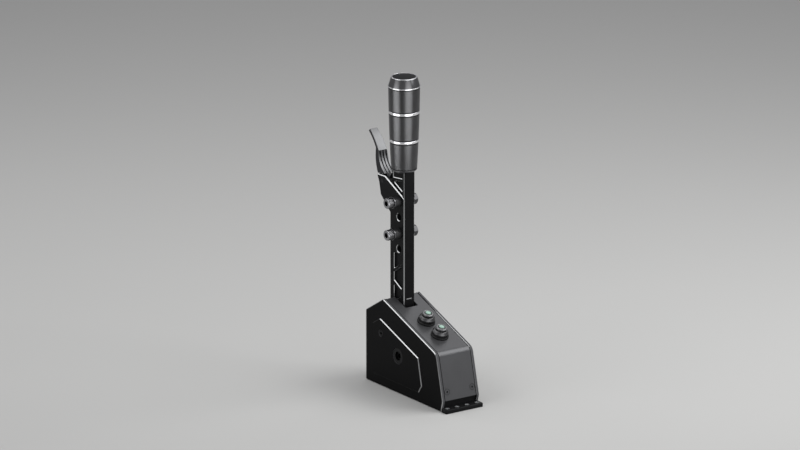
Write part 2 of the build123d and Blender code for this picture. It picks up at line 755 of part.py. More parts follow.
def trigger():
    """The trigger: curved pad, fluted stem, and the lug and toe between the lobes."""
    front = [(-f, z) for f, z in map(from_pin, trigger_front)]
    rear = [(-f, z) for f, z in map(from_pin, trigger_rear)]
    edges = [ThreePointArc(*curve[i:i + 3]) for curve in (front, rear) for i in (0, 2)]
    edges += [Line(front[0], rear[0]), Line(front[-1], rear[-1])]
    face = Plane.YZ * make_face(edges)
    low_f, low_z = from_pin(trigger_rear[-1])
    lip_z = trigger_pivot_z + trigger_lip_rise
    top_z = trigger_pivot_z + trigger_front[0][1]
    front_view = Polyline((-trigger_half_width, low_z), (-trigger_top_half_width, top_z),
                          (trigger_top_half_width, top_z), (trigger_half_width, low_z), close=True)
    reach = trigger_pin_back + hypot(*trigger_front[0])
    body = across(face, -trigger_half_width, trigger_half_width)
    body &= extrude(Plane.XZ * make_face(front_view), reach, both=True)
    for index in (0, -1):
        rims = [edge for edge in side_faces(body)[index].edges() if edge.geom_type != GeomType.LINE]
        body = chamfer(rims, trigger_chamfer)
    high_f = trigger_pivot_f + stem_mouth_f
    stem = face & side_face([(low_f - toe_reach, low_z), (low_f - toe_reach, lip_z),
                             (high_f, lip_z), (high_f, low_z)])
    front_skin = stem - Pos(0, trigger_stem_setback, 0) * stem
    body -= across(front_skin, -trigger_half_width, trigger_half_width)
    band = stem - Pos(0, trigger_flute_depth, 0) * stem
    for x in (-trigger_rib_pitch, 0, trigger_rib_pitch):
        half = trigger_flute_width / 2
        body -= across(band, x - half, x + half)
    root = trigger_lug_radius - 1
    lug = across(side_face([
        (trigger_pivot_f - root, trigger_pivot_z),
        (low_f + root, low_z + trigger_lug_radius),
        from_pin((trigger_front[-1][0] - root + 1, trigger_front[-1][1] + 1)),
        (trigger_pivot_f + trigger_lug_radius, trigger_pivot_z),
    ]), -trigger_lug_half_width, trigger_lug_half_width)
    lug += rod_x(trigger_lug_radius, trigger_pivot_f, trigger_pivot_z,
                 -trigger_lug_half_width, trigger_lug_half_width)
    lug += across(side_face([
        (trigger_pivot_f, toe_top_z),
        (toe_front_f, toe_top_z),
        (toe_front_f, toe_bottom_z),
        (return_spring_f - 2 * return_spring_radius, toe_bottom_z),
        (trigger_pivot_f, trigger_pivot_z - trigger_lug_radius),
    ]), -trigger_lug_half_width, trigger_lug_half_width)
    body += lug
    body -= rod_x(trigger_pin_radius + running_gap, trigger_pivot_f, trigger_pivot_z,
                  -trigger_half_width, trigger_half_width)
    return body


def grip_radius(z):
    """Outer radius of the grip, which swells slightly between its two ends."""
    t = (z - grip_bottom_z) / (grip_top_z - grip_bottom_z)
    return grip_bottom_radius + (grip_top_radius - grip_bottom_radius) * t + 4 * grip_bulge * t * (1 - t)


def grip_part(low_z, high_z, proud=0, edge=sleeve_chamfer):
    """A sleeve, ring or collar whose outside follows the grip's curve, with bevelled rims."""
    low_rim = grip_radius(low_z) + proud - edge
    high_rim = grip_radius(high_z) + proud - edge
    side = [(grip_radius(z) + proud, z) for z in (low_z + edge, (low_z + high_z) / 2, high_z - edge)]
    rest = Polyline(side[-1], (high_rim, high_z), (grip_bore, high_z),
                    (grip_bore, low_z), (low_rim, low_z), side[0])
    return revolve(Plane.XZ * make_face([Spline(*side), rest]), Axis.Z)


def crown():
    """The bevelled top of the grip, with its bright ring, cap recess and screw hole."""
    ring_low = grip_top_z - crown_ring_height
    top_z = grip_top_z + crown_height
    ring_radius = grip_radius(grip_top_z) + ring_proud
    waist = grip_top_radius - ring_proud
    recess = cap_radius + seat_gap
    body = round_profile([(0, ring_low), (ring_radius, ring_low), (ring_radius, grip_top_z),
                          (waist, grip_top_z), (crown_top_radius, top_z), (0, top_z)])
    body = fillet(body.edges().filter_by(GeomType.CIRCLE).sort_by(Axis.Z)[-1], sleeve_chamfer)
    body -= rod_z(recess, 0, 0, top_z - cap_depth, top_z)
    seat_z = top_z - cap_depth - grip_screw_head_height - moving_gap
    body -= rod_z(grip_screw_head_radius + bolt_gap, 0, 0, seat_z, top_z)
    body -= rod_z(grip_screw_radius + bolt_gap, 0, 0, ring_low, top_z)
    return body, seat_z


def clamp_stack():
    """Bolts, washers, spacers and nuts that clamp the handle in the fork."""
    bolts, washers, spacers, nuts = [], [], [], []
    hole = bolt_radius + bolt_gap
    left_x = -lever_half_width - spacer_length - washer_thickness
    right_x = lever_half_width + washer_thickness + nut_height
    for z in bolt_holes:
        bolt = cap_screw(bolt_radius, right_x + bolt_end - left_x, bolt_head_radius, bolt_head_height,
                         bolt_socket_width, bolt_socket_depth)
        bolts.append(Pos(left_x, 0, z) * Rot(0, -90, 0) * bolt)
        for low in (left_x, lever_half_width):
            ring = rod_x(washer_radius, 0, z, low, low + washer_thickness)
            washers.append(ring - rod_x(hole, 0, z, low, low + washer_thickness))
        tube = rod_x(spacer_radius, 0, z, -lever_half_width - spacer_length, -lever_half_width)
        spacers.append(tube - rod_x(hole, 0, z, -lever_half_width - spacer_length, -lever_half_width))
        nut = Pos(right_x - nut_height, 0, z) * Rot(0, 90, 0) * hexagon(nut_width, nut_height)
        nut &= rod_x(nut_width * nut_round, 0, z, right_x - nut_height, right_x)
        nuts.append(nut - rod_x(bolt_radius + seat_gap, 0, z, right_x - nut_height, right_x))
    return bolts, washers, spacers, nuts


def tube_x(outer, inner, f, z, x_low, x_high):
    """A round tube along X."""
    return rod_x(outer, f, z, x_low, x_high) - rod_x(inner, f, z, x_low, x_high)


def pivot_parts():
    """Shaft, bushes, spacer tubes and end screws of the lever's pivot."""
    shaft = rod_x(pivot_shaft_radius, pivot_f, pivot_z, -plate_inner_x + seat_gap, plate_inner_x - seat_gap)
    shaft -= rod_x(pivot_screw_radius, pivot_f, pivot_z, -plate_inner_x, plate_inner_x)
    bore = pivot_shaft_radius + running_gap
    inner = lever_half_width - bush_length
    flange_x = lever_half_width + bush_flange
    bush = tube_x(bush_radius, bore, pivot_f, pivot_z, inner, lever_half_width)
    bush += tube_x(bush_flange_radius, bore, pivot_f, pivot_z, lever_half_width, flange_x)
    spacer = tube_x(bush_flange_radius, bore, pivot_f, pivot_z, flange_x + 2 * seat_gap,
                    plate_inner_x - seat_gap)
    head_x = panel_face_x - cover_recess
    screw = cap_screw(pivot_screw_radius, pivot_screw_length, pivot_head_radius, pivot_head_height,
                      screw_socket_width * 1.4, pivot_head_height * 0.6)
    screw = Pos(head_x - pivot_head_height, -pivot_f, pivot_z) * Rot(0, 90, 0) * screw
    return shaft, bush, spacer, screw


def stop_parts():
    """Stop shaft, its screwed-on cap and the rubber sleeve in the lever's window."""
    face_x = panel_face_x - cover_recess
    shaft = rod_x(stop_shaft_radius, stop_f, stop_z, -face_x, plate_inner_x)
    head = rod_x(stop_head_radius, stop_f, stop_z, -face_x, -face_x + stop_head_height)
    head = chamfer(head.faces().sort_by(Axis.X)[0].edges(), plate_edge_chamfer / 2)
    recess = rod_x(stop_recess_radius, stop_f, stop_z, -face_x, -face_x + stop_recess_depth)
    key = Pos(-face_x, -stop_f, stop_z) * Rot(0, 90, 0) * hexagon(bolt_socket_width, 2 * stop_recess_depth)
    shaft = shaft + head - recess - key
    stud = stop_shaft_radius / 2
    shaft -= rod_x(stud, stop_f, stop_z, plate_inner_x - screw_length, plate_inner_x)
    cap = mirror(head, about=Plane.YZ)
    cap += rod_x(stop_shaft_radius, stop_f, stop_z, plate_inner_x + seat_gap, face_x - stop_head_height)
    cap += rod_x(stud, stop_f, stop_z, plate_inner_x - screw_length + 1, face_x - stop_head_height)
    cap -= mirror(recess, about=Plane.YZ)
    half = stop_sleeve_length / 2
    sleeve = tube_x(stop_sleeve_radius, stop_shaft_radius, stop_f, stop_z, -half, half)
    return shaft, cap, sleeve


def biarc(start, start_way, end, end_way):
    """Two tangent arcs from one place and direction to another."""
    gap = end - start
    turn = 2 * (1 - start_way.dot(end_way))
    along = gap.dot(start_way + end_way)
    reach = (sqrt(along ** 2 + turn * gap.dot(gap)) - along) / turn
    joint = (start + end + (start_way - end_way) * reach) * 0.5
    return [TangentArc(start, joint, tangent=start_way),
            TangentArc(end, joint, tangent=end_way * -1)]


def coil_spring(name, radius, wire, length, turns):
    """A compression spring standing on the XY plane, one wire with its two ends ground flat."""
    mean = radius - wire / 2
    pitch = length / turns

    def on_helix(turn):
        angle = 2 * pi * turn
        return Vector(mean * cos(angle), mean * sin(angle), pitch * turn)

    def way(turn):
        angle = 2 * pi * turn
        return Vector(-2 * pi * mean * sin(angle), 2 * pi * mean * cos(angle), pitch).normalized()

    quarters = [i / 4 for i in range(4 * turns + 1)]
    path = []
    for low, high in zip(quarters, quarters[1:]):
        path += biarc(on_helix(low), way(low), on_helix(high), way(high))
    tube = sweep(Plane(origin=on_helix(0), z_dir=way(0)) * Circle(wire / 2), path=Wire(path))
    steps = [i / 24 for i in range(24 * turns + 1)]
    apart = [(on_helix(a) - on_helix(b)).length for a in steps for b in steps if b - a > 0.5]
    print(f"{name}: {turns} turns, least gap between turns {min(apart) - wire:.2f} mm")
    return tube & Pos(0, 0, length / 2) * Box(4 * radius, 4 * radius, length)


def guide_parts():
    """Guide rod with its nut, and the two centring springs on it."""
    nut_f = front_spring_block_f + spring_block_depth
    rod = rod_y(guide_radius, 0, guide_z, rear_block_f, nut_f + guide_nut_height + 1)
    nut = Pos(0, -nut_f, guide_z) * Rot(90, 0, 0) * hexagon(guide_nut_width, guide_nut_height)
    nut -= rod_y(guide_radius + seat_gap, 0, guide_z, nut_f, nut_f + guide_nut_height)
    seats = {
        "centring_spring_rear": (rear_block_f + spring_block_depth, tail_rear_f),
        "centring_spring_front": (tail_front_f, front_spring_block_f),
    }
    springs = {}
    for name, (f_low, f_high) in seats.items():
        spring = coil_spring(name, spring_radius, spring_wire, f_high - f_low, spring_turns)
        springs[name] = Pos(0, -f_low, guide_z) * Rot(90, 0, 0) * spring
    return rod, nut, springs


def button(f):
    """The pieces of one push button, placed on the slope: body, cap, lens, nut and switch."""
    collar_top = button_skirt_height + button_collar_height
    bore = button_neck_radius + moving_gap
    body = round_profile([
        (bore, collar_top),
        (button_collar_radius, collar_top),
        (button_ridge_radius, button_skirt_height),
        (button_ridge_radius + 0.4, button_skirt_height - 0.6),
        (button_ridge_radius + 0.4, button_flange_height + 0.4),
        (button_skirt_radius - 0.2, button_flange_height),
        (button_skirt_radius, button_flange_height - 0.2),
        (button_skirt_radius, 0),
        (button_barrel_radius, 0),
        (button_barrel_radius, -button_barrel_length),
        (bore, -button_barrel_length),
    ])
    cap_low = collar_top + button_travel + moving_gap
    cap_top = cap_low + button_cap_height
    cap = round_profile([
        (0, -button_barrel_length / 2),
        (button_neck_radius, -button_barrel_length / 2),
        (button_neck_radius, cap_low),
        (button_cap_radius, cap_low),
        (button_cap_radius, cap_top - 0.8),
        (button_lens_radius + 0.6, cap_top),
        (button_lens_radius + seat_gap, cap_top),
        (button_lens_radius + seat_gap, cap_top - button_lens_rise),
        (0, cap_top - button_lens_rise),
    ])
    dome_radius = (button_lens_radius ** 2 + button_lens_rise ** 2) / (2 * button_lens_rise)
    lens = Pos(0, 0, cap_top) * Cylinder(button_lens_radius, 2 * button_lens_rise)
    lens &= Pos(0, 0, cap_top + button_lens_rise - dome_radius) * Sphere(dome_radius)
    nut_z = -cover_thickness - seat_gap - button_nut_height
    nut = Pos(0, 0, nut_z) * hexagon(button_nut_width, button_nut_height)
    nut -= Cylinder(button_barrel_radius + seat_gap, 4 * button_barrel_length)
    switch = Pos(0, 0, -button_barrel_length - seat_gap - button_switch_height / 2) * Box(
        button_switch_width, button_switch_width, button_switch_height)
    post_top = -button_barrel_length / 2 - button_travel - moving_gap
    post_low = -button_barrel_length - seat_gap - 1
    switch += Pos(0, 0, (post_top + post_low) / 2) * Cylinder(button_neck_radius / 2, post_top - post_low)
    place = on_slope(f).location
    return [place * piece for piece in (body, cap, lens, nut, switch)]


def electronics():
    """Main board with its standoffs and screws, position sensor and cable socket."""
    board_z = base_thickness + standoff_height + seat_gap
    top_z = board_z + board_thickness
    board = block(-board_half_width, board_half_width, board_rear_f, board_front_f, board_z, top_z)
    standoffs, screws = [], []
    for f in standoff_places:
        for x in (-standoff_x, standoff_x):
            post = rod_z(standoff_radius, x, f, base_thickness + seat_gap / 2, board_z - seat_gap / 2)
            post -= rod_z(board_screw_radius, x, f, base_thickness, board_z)
            standoffs.append(post)
            board -= rod_z(board_screw_radius + seat_gap, x, f, board_z, top_z)
            screws.append(rod_z(board_screw_radius, x, f, board_z - standoff_height / 2, top_z + seat_gap)
                          + rod_z(board_screw_head_radius, x, f, top_z + seat_gap,
                                  top_z + board_screw_head_height))
    magnet_f = (tail_rear_f + tail_front_f) / 2
    width, length, height = sensor_size
    sensor = block(-width / 2, width / 2, magnet_f - length / 2, magnet_f + length / 2,
                   top_z + seat_gap / 2, top_z + height)
    socket_f = rear_f + cover_recess
    low_z = top_z + seat_gap / 2
    shell = block(-socket_width / 2, socket_width / 2, socket_f, socket_f + socket_length,
                  low_z, low_z + socket_height)
    shell = fillet(shell.edges().filter_by(Axis.Y), socket_height * 0.4)
    hollow = block(-socket_width / 2 + socket_wall, socket_width / 2 - socket_wall, socket_f,
                   socket_f + socket_length - 1, low_z + socket_wall, low_z + socket_height - socket_wall)
    hollow = fillet(hollow.edges().filter_by(Axis.Y), socket_height * 0.3)
    tongue = block(-socket_width / 3, socket_width / 3, socket_f + 1, socket_f + socket_length - 0.5,
                   low_z + socket_height / 2 - socket_wall, low_z + socket_height / 2 + socket_wall)
    return board, standoffs, screws, sensor, shell - hollow + tongue


sheet = cover_sheet()
left_plate = side_plate()
save("side_plate_left", left_plate)
save("side_plate_right", mirror(left_plate, about=Plane.YZ))
save("base_plate", base_plate())
save("top_cover", top_cover(sheet))
save("rear_cover", rear_cover(sheet))
save("front_block", front_block())
rear_block = spring_block(rear_block_f)
for x in (-cover_screw_x, cover_screw_x):
    rear_block -= on_rear(x, cover_screw_z).location * countersink(screw_length + 1)
save("spring_block_rear", rear_block)
save("spring_block_front", spring_block(front_spring_block_f))
screw = countersunk_screw()
screw_sides = (-cover_screw_x, cover_screw_x)
save("base_screws", *[Pos(x, -f, 0) * Rot(180, 0, 0) * screw for x, f in base_screw_places()])
save("front_screws", *[on_front(x, cover_screw_z).location * screw for x in screw_sides])
save("rear_screws", *[on_rear(x, cover_screw_z).location * screw for x in screw_sides])

shaft, bush, spacer, pivot_screw = pivot_parts()
save("pivot_shaft", shaft)
save("pivot_bushes", *mirrored(bush))
save("pivot_spacers", *mirrored(spacer))
save("pivot_screws", *mirrored(pivot_screw))
stop_shaft, stop_cap, stop_sleeve = stop_parts()
save("stop_shaft", stop_shaft)
save("stop_shaft_cap", stop_cap)
save("stop_sleeve", stop_sleeve)
guide_rod, guide_nut, springs = guide_parts()
save("guide_rod", guide_rod)
save("guide_nut", guide_nut)
for name, spring in springs.items():
    save(name, spring)

save("lever_beam", lever_beam())
save("lever_magnet", rod_z(magnet_radius, 0, (tail_rear_f + tail_front_f) / 2, tail_bottom_z,
                           tail_bottom_z + magnet_height - seat_gap))
save("handle_bracket", handle_bracket())
bolts, washers, spacers, nuts = clamp_stack()
save("clamp_bolts", *bolts)
save("clamp_washers", *washers)
save("clamp_spacers", *spacers)
save("clamp_nuts", *nuts)

save("trigger", trigger())
save("trigger_pin", rod_x(trigger_pin_radius, trigger_pivot_f, trigger_pivot_z,
                          -lever_half_width + seat_gap, lever_half_width - seat_gap))
return_spring = coil_spring("trigger_spring", return_spring_radius, return_spring_wire,
                            toe_bottom_z - ledge_top_z, return_spring_turns)
save("trigger_spring", Pos(0, -return_spring_f, ledge_top_z) * return_spring)

save("grip_collar", grip_part(grip_bottom_z, sleeve_ends["lower"][0], 0, collar_chamfer))
for name, (low, high) in sleeve_ends.items():
    save(f"grip_sleeve_{name}", grip_part(low, high))
for name, below, above in (("lower", "lower", "middle"), ("upper", "middle", "upper")):
    save(f"grip_ring_{name}", grip_part(sleeve_ends[below][1], sleeve_ends[above][0], ring_proud))
grip_crown, screw_seat_z = crown()
save("grip_crown", grip_crown)
top_z = grip_top_z + crown_height
cap = rod_z(cap_radius, 0, 0, top_z - cap_depth + seat_gap, top_z)
save("grip_cap", chamfer(cap.faces().sort_by(Axis.Z)[-1].edges(), sleeve_chamfer / 2))
save("grip_screw", Pos(0, 0, screw_seat_z) * cap_screw(
    grip_screw_radius, grip_screw_length, grip_screw_head_radius, grip_screw_head_height,
    bolt_socket_width * 0.8, grip_screw_head_height / 2))

for name, f in button_places.items():
    body, cap, lens, nut, switch = button(f)
    save(f"button_body_{name}", body)
    save(f"button_cap_{name}", cap)
    save(f"button_lens_{name}", lens)
    save(f"button_nut_{name}", nut)
    save(f"button_switch_{name}", switch)

board, standoffs, board_screws, sensor, socket = electronics()
save("main_board", board)
save("board_standoffs", *standoffs)
save("board_screws", *board_screws)
save("position_sensor", sensor)
save("cable_socket", socket)
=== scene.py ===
"""Finishes, turned parts and studio of a sequential gear shifter, fitted to its CAD frame."""

import json
from math import cos, pi, radians, sin, sqrt

import bmesh
import bpy
from bpy.props import FloatProperty, FloatVectorProperty, IntProperty, PointerProperty
from bpy.types import Operator, Panel, PropertyGroup
from mathutils import Matrix, Vector


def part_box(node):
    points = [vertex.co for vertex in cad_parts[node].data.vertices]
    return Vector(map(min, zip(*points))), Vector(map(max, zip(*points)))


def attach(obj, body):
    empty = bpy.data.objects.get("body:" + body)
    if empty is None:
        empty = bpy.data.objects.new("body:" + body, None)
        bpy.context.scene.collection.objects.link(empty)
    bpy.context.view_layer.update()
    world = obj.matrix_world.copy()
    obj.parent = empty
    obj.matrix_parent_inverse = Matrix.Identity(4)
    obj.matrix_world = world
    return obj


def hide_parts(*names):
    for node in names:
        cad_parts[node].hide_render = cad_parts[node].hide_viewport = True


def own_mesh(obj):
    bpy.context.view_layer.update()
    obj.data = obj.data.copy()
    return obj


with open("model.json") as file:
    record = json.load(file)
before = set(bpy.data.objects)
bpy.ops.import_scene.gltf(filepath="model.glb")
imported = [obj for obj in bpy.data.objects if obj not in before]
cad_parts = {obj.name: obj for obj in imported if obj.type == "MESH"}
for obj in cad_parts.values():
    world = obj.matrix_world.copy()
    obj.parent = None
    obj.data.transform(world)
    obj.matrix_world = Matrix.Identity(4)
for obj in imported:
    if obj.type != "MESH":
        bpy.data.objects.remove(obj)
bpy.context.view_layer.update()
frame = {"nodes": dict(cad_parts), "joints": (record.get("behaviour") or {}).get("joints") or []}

bl_info = {
    "name": "Gear shifter finishes",
    "version": (1, 0, 0),
    "blender": (4, 5, 0),
    "location": "3D View > Sidebar > Shifter",
    "description": "Finishes, turned parts and studio of a sequential gear shifter",
    "category": "Object",
}

MM = 0.001


# Settings
def colour(name, description, default):
    """A colour that a user can change."""
    return FloatVectorProperty(name=name, description=description, subtype="COLOR", size=3,
                               min=0, max=1, default=default)


def length(name, description, default):
    """A length in metres that a user can change."""
    return FloatProperty(name=name, description=description, default=default, unit="LENGTH",
                         subtype="DISTANCE", precision=5)


def rotation(name, description, default):
    """An angle in radians that a user can change."""
    return FloatProperty(name=name, description=description, default=default, unit="ROTATION",
                         subtype="ANGLE")


class StudioSettings(PropertyGroup):
    floor_colour: colour("Floor", "Colour of the floor", (0.54, 0.54, 0.53))
    surround_colour: colour("Surround", "Colour all round the floor", (0.34, 0.34, 0.35))
    camera_distance: length("Camera distance", "From the camera to the point it looks at", 12.0)
    camera_azimuth: rotation("Camera azimuth", "Angle round the shifter, 0 in front of it", radians(-35))
    camera_elevation: rotation("Camera elevation", "Angle above the floor", radians(17.07))
    camera_lens: FloatProperty(name="Lens", description="Focal length in millimetres on a 36 mm sensor",
                               default=448.0, subtype="DISTANCE_CAMERA")


class HousingSettings(PropertyGroup):
    plate_colour: colour("Side plates", "Anodised side plates", (0.0028, 0.0028, 0.0031))
    cover_colour: colour("Covers", "Satin painted covers", (0.090, 0.091, 0.095))
    base_colour: colour("Base", "Matt base plate and blocks", (0.0088, 0.0088, 0.0093))
    hole_setback: length("Lip holes' setback", "From the lip's front edge to its row of holes", 5.8 * MM)
    hole_edge: length("Lip holes' edge", "From the base's side to its outer holes", 5.6 * MM)
    hole_radius: length("Lip holes' radius", "Radius of the holes in the lip", 2.75 * MM)
    screw_head_radius: length("Front screws' heads", "Radius of the front screws' heads", 3.9 * MM)
    screw_shade_ring: length("Front screws' rings", "Width of the dark ring round each head", 0.65 * MM)
    front_lean: rotation("Front lean", "Angle that the front leans back", radians(13.6))
    bare_colour: colour("Cut edges", "Bare metal of the cut edges", (0.48, 0.485, 0.49))
    screw_colour: colour("Screws", "Blackened screws", (0.020, 0.020, 0.021))


class LeverSettings(PropertyGroup):
    anodised_colour: colour("Anodising", "Black anodised lever and bracket", (0.0066, 0.0066, 0.0070))
    # A painted highlight: these place a thin band of bright bare metal on the lever's foot, where a glint
    # falls.
    glint_rise: length("Mark's height", "From the pivot to the bright mark on the lever's foot", 43.8 * MM)
    glint_front: length("Mark's front", "Where the lever's front face lies along Y", -11.1 * MM)
    glint_depth: length("Mark's depth", "How deep the mark is cut", 0.6 * MM)
    bolt_colour: colour("Bolts", "Dark polished bolts and nuts", (0.13, 0.13, 0.135))
    spacer_colour: colour("Spacers", "Black spacers below the bolt heads", (0.018, 0.018, 0.019))
    bolt_knurls: IntProperty(name="Head knurls", description="Ridges round each bolt head", default=48)
    thread_pitch: length("Thread pitch", "Pitch of the clamp bolts' thread", 1.25 * MM)


class GripSettings(PropertyGroup):
    bottom_radius: length("Bottom radius", "Radius at the lower end", 15.6 * MM)
    top_radius: length("Top radius", "Radius at the upper end", 19.3 * MM)
    bulge: length("Bulge", "How far the middle swells past a straight taper", 0.63 * MM)
    knurl_pitch: length("Knurl pitch", "Width of one diamond round the grip", 1.9 * MM)
    knurl_height: length("Knurl height", "Height of one diamond along the grip", 2.7 * MM)
    knurl_depth: length("Knurl depth", "Depth of the grooves", 0.4 * MM)
    knurl_flat: FloatProperty(name="Knurl flat", description="Share of each diamond that is flat",
                              default=0.76, min=0.1, max=0.9)
    knurl_colour: colour("Knurl", "Dark metal of the knurled sleeves", (0.135, 0.136, 0.140))
    dark_colour: colour("Dark metal", "Turned collar under the grip", (0.11, 0.11, 0.115))
    chrome_colour: colour("Chrome", "Polished rings", (0.78, 0.78, 0.80))
    crown_colour: colour("Crown", "Dark chrome of the bevelled top", (0.15, 0.15, 0.155))
    cap_colour: colour("Cap", "Gloss cap in the top", (0.0035, 0.0035, 0.004))


class TriggerSettings(PropertyGroup):
    metal_colour: colour("Metal", "Satin metal of the trigger's pad and ribs", (0.165, 0.167, 0.170))
    # Painted shade: the trigger's sides are darkened as if they lay in shade.
    flank_shade_colour: colour("Flanks", "Darkened metal of the trigger's flanks", (0.045, 0.045, 0.048))


class ButtonSettings(PropertyGroup):
    skirt_colour: colour("Skirt", "Dark outer skirt", (0.009, 0.009, 0.0095))
    collar_colour: colour("Collar", "Bevelled dark collar", (0.115, 0.115, 0.118))
    cap_colour: colour("Cap ring", "Satin ring round the lens", (0.22, 0.22, 0.225))
    lens_colour: colour("Lens", "Pale green lens", (0.27, 0.43, 0.35))
    glow: FloatProperty(name="Glow", description="How brightly the lens is lit", default=0.02, min=0)


class MechanismSettings(PropertyGroup):
    steel_colour: colour("Steel", "Bright steel shafts and springs", (0.55, 0.55, 0.57))
    bronze_colour: colour("Bronze", "Plain bearing bushes", (0.45, 0.27, 0.11))
    aluminium_colour: colour("Aluminium", "Turned spacer tubes", (0.62, 0.62, 0.64))
    rubber_colour: colour("Rubber", "Stop sleeve", (0.012, 0.012, 0.012))
    board_colour: colour("Circuit board", "Green solder mask", (0.012, 0.085, 0.040))
    chip_colour: colour("Chips", "Moulded black chip bodies", (0.014, 0.014, 0.015))


SETTINGS = {
    "shifter_studio": StudioSettings,
    "shifter_housing": HousingSettings,
    "shifter_lever": LeverSettings,
    "shifter_grip": GripSettings,
    "shifter_trigger": TriggerSettings,
    "shifter_buttons": ButtonSettings,
    "shifter_mechanism": MechanismSettings,
}


# Materials
class Signal:
    """A number carried by a socket. Python operators on it add Math nodes."""

    def __init__(self, tree, socket):
        self.tree = tree
        self.socket = socket

    def worked(self, operation, *values):
        """The result of one Math node."""
        node = self.tree.nodes.new("ShaderNodeMath")
        node.operation = operation
        for slot, value in zip(node.inputs, values):
            connect(self.tree, slot, value)
        return Signal(self.tree, node.outputs[0])

    def __add__(self, other):
        return self.worked("ADD", self, other)

    __radd__ = __add__

    def __sub__(self, other):
        return self.worked("SUBTRACT", self, other)

    def __rsub__(self, other):
        return self.worked("SUBTRACT", other, self)

    def __mul__(self, other):
        return self.worked("MULTIPLY", self, other)

    __rmul__ = __mul__

    def __truediv__(self, other):
        return self.worked("DIVIDE", self, other)

    def __abs__(self):
        return self.worked("ABSOLUTE", self)

    def __gt__(self, other):
        return self.worked("GREATER_THAN", self, other)

    def within(self, low, high):
        """0 at low, 1 at high, and held between them."""
        share = (self - low) / (high - low)
        return share.worked("MINIMUM", share.worked("MAXIMUM", share, 0.0), 1.0)


def off_axis(x, y):
    """How far these two coordinates lie from the axis."""
    square = x * x + y * y
    return square.worked("SQRT", square)


def connect(tree, slot, value):
    """Links a signal or a socket to a slot, or sets a plain value on it."""
    if isinstance(value, Signal):
        tree.links.new(value.socket, slot)
    elif isinstance(value, bpy.types.NodeSocket):
        tree.links.new(value, slot)
    elif slot.type == "RGBA" and len(value) == 3:
        slot.default_value = (*value, 1.0)
    else:
        slot.default_value = value


def find_socket(sockets, key):
    """The socket with this identifier or, failing that, with this name."""
    for socket in sockets:
        if socket.identifier == key:
            return socket
    return sockets[key]


class Paint:
    """One material with a Principled shader."""

    def __init__(self, name, values=None):
        self.material = bpy.data.materials.new(name)
        self.material.use_nodes = True
        self.tree = self.material.node_tree
        self.shader = self.tree.nodes["Principled BSDF"]
        coordinates = self.node("TexCoord")
        self.place = coordinates.outputs["Object"]
        self.normal = coordinates.outputs["Normal"]
        self.feed(values or {})

    def node(self, kind, settings=None, values=None):
        """A node of this type, its settings first and then its sockets' values or links."""
        node = self.tree.nodes.new("ShaderNode" + kind)
        for key, value in (settings or {}).items():
            setattr(node, key, value)
        for key, value in (values or {}).items():
            connect(self.tree, find_socket(node.inputs, key), value)
        return node

    def feed(self, values):
        """Sets or links the shader's own sockets."""
        for key, value in values.items():
            connect(self.tree, self.shader.inputs[key], value)

    def parts(self, vector):
        """The X, Y and Z of a vector socket."""
        split = self.node("SeparateXYZ", values={"Vector": vector})
        return [Signal(self.tree, split.outputs[i]) for i in range(3)]

    def stretched(self, x, y, z):
        """The object's coordinates, multiplied along each axis."""
        node = self.node("VectorMath", {"operation": "MULTIPLY"}, {0: self.place, 1: (x, y, z)})
        return node.outputs["Vector"]

    def noise(self, scale, detail=2.0, vector=None):
        """Smooth noise from 0 to 1, with this many features in a metre."""
        node = self.node("TexNoise", values={
            "Vector": vector or self.place, "Scale": scale, "Detail": detail})
        return Signal(self.tree, node.outputs["Fac"])

    def mix(self, share, low, high):
        """A colour between two others."""
        node = self.node("Mix", {"data_type": "RGBA"}, {
            "Factor_Float": share, "A_Color": low, "B_Color": high})
        return find_socket(node.outputs, "Result_Color")

    def shades(self, share, tone, low, high):
        """A colour between two shades of one tone."""
        return self.mix(share, shade(tone, low), shade(tone, high))

    def inside(self, low, high):
        """1 inside a box of the object's own space, and 0 outside it."""
        share = 1
        for part, start, end in zip(self.parts(self.place), low, high):
            share = (part > start) * (end - part > 0) * share
        return share

    def facing_x(self, low, high):
        """0 to 1 as the normal's share along X, either way, grows from low to high."""
        return abs(self.parts(self.normal)[0]).within(low, high)

    def finish(self, tone, roughness, height, depth):
        """The material, with this colour and roughness, and relief of a real depth in metres."""
        relief = self.node("Bump", values={"Height": height, "Distance": depth, "Strength": 1.0})
        self.feed({"Base Color": tone, "Roughness": roughness, "Normal": relief.outputs["Normal"]})
        return self.material


def shade(tone, factor):
    """A colour made darker or lighter."""
    return tuple(min(1.0, part * factor) for part in tone)


def anodised(name, black, bare, rim=None, painted_glint=None, gloss=0.42, specular=0.06):
    """Bead-blasted black anodising with bright cut bevels, painted rims and one painted highlight: a thin
    band of bright bare metal in a box, standing in for a glint.
    """
    paint = Paint(name, {"Specular IOR Level": specular})
    flank = paint.facing_x(0.86, 0.94)
    # A bevel faces halfway between the flanks and the other faces.
    cut = paint.facing_x(0.42, 0.52) * (1 - flank)
    # Painted highlight: bare metal is painted inside the glint's box.
    if painted_glint:
        cut = cut.worked("MAXIMUM", cut, paint.inside(*painted_glint))
    paint.feed({"Metallic": cut})
    cloud = paint.noise(45.0, 3.0)
    grain = paint.noise(5200.0)
    ground = paint.shades(cloud.within(0.3, 0.75), black, 0.82, 1.3)
    if rim:
        ground = paint.mix(flank, paint.shades(cloud, rim, 0.94, 1.06), ground)
    scratched = paint.noise(1.0, 3.0, paint.stretched(900.0, 900.0, 60.0))
    edge = paint.shades(scratched.within(0.3, 0.7), bare, 0.8, 1.0)
    roughness = (gloss + cloud * 0.08) * (1 - cut) + cut * (0.17 + scratched * 0.06)
    return paint.finish(paint.mix(cut, ground, edge), roughness, grain * (1 - cut), 0.012 * MM)


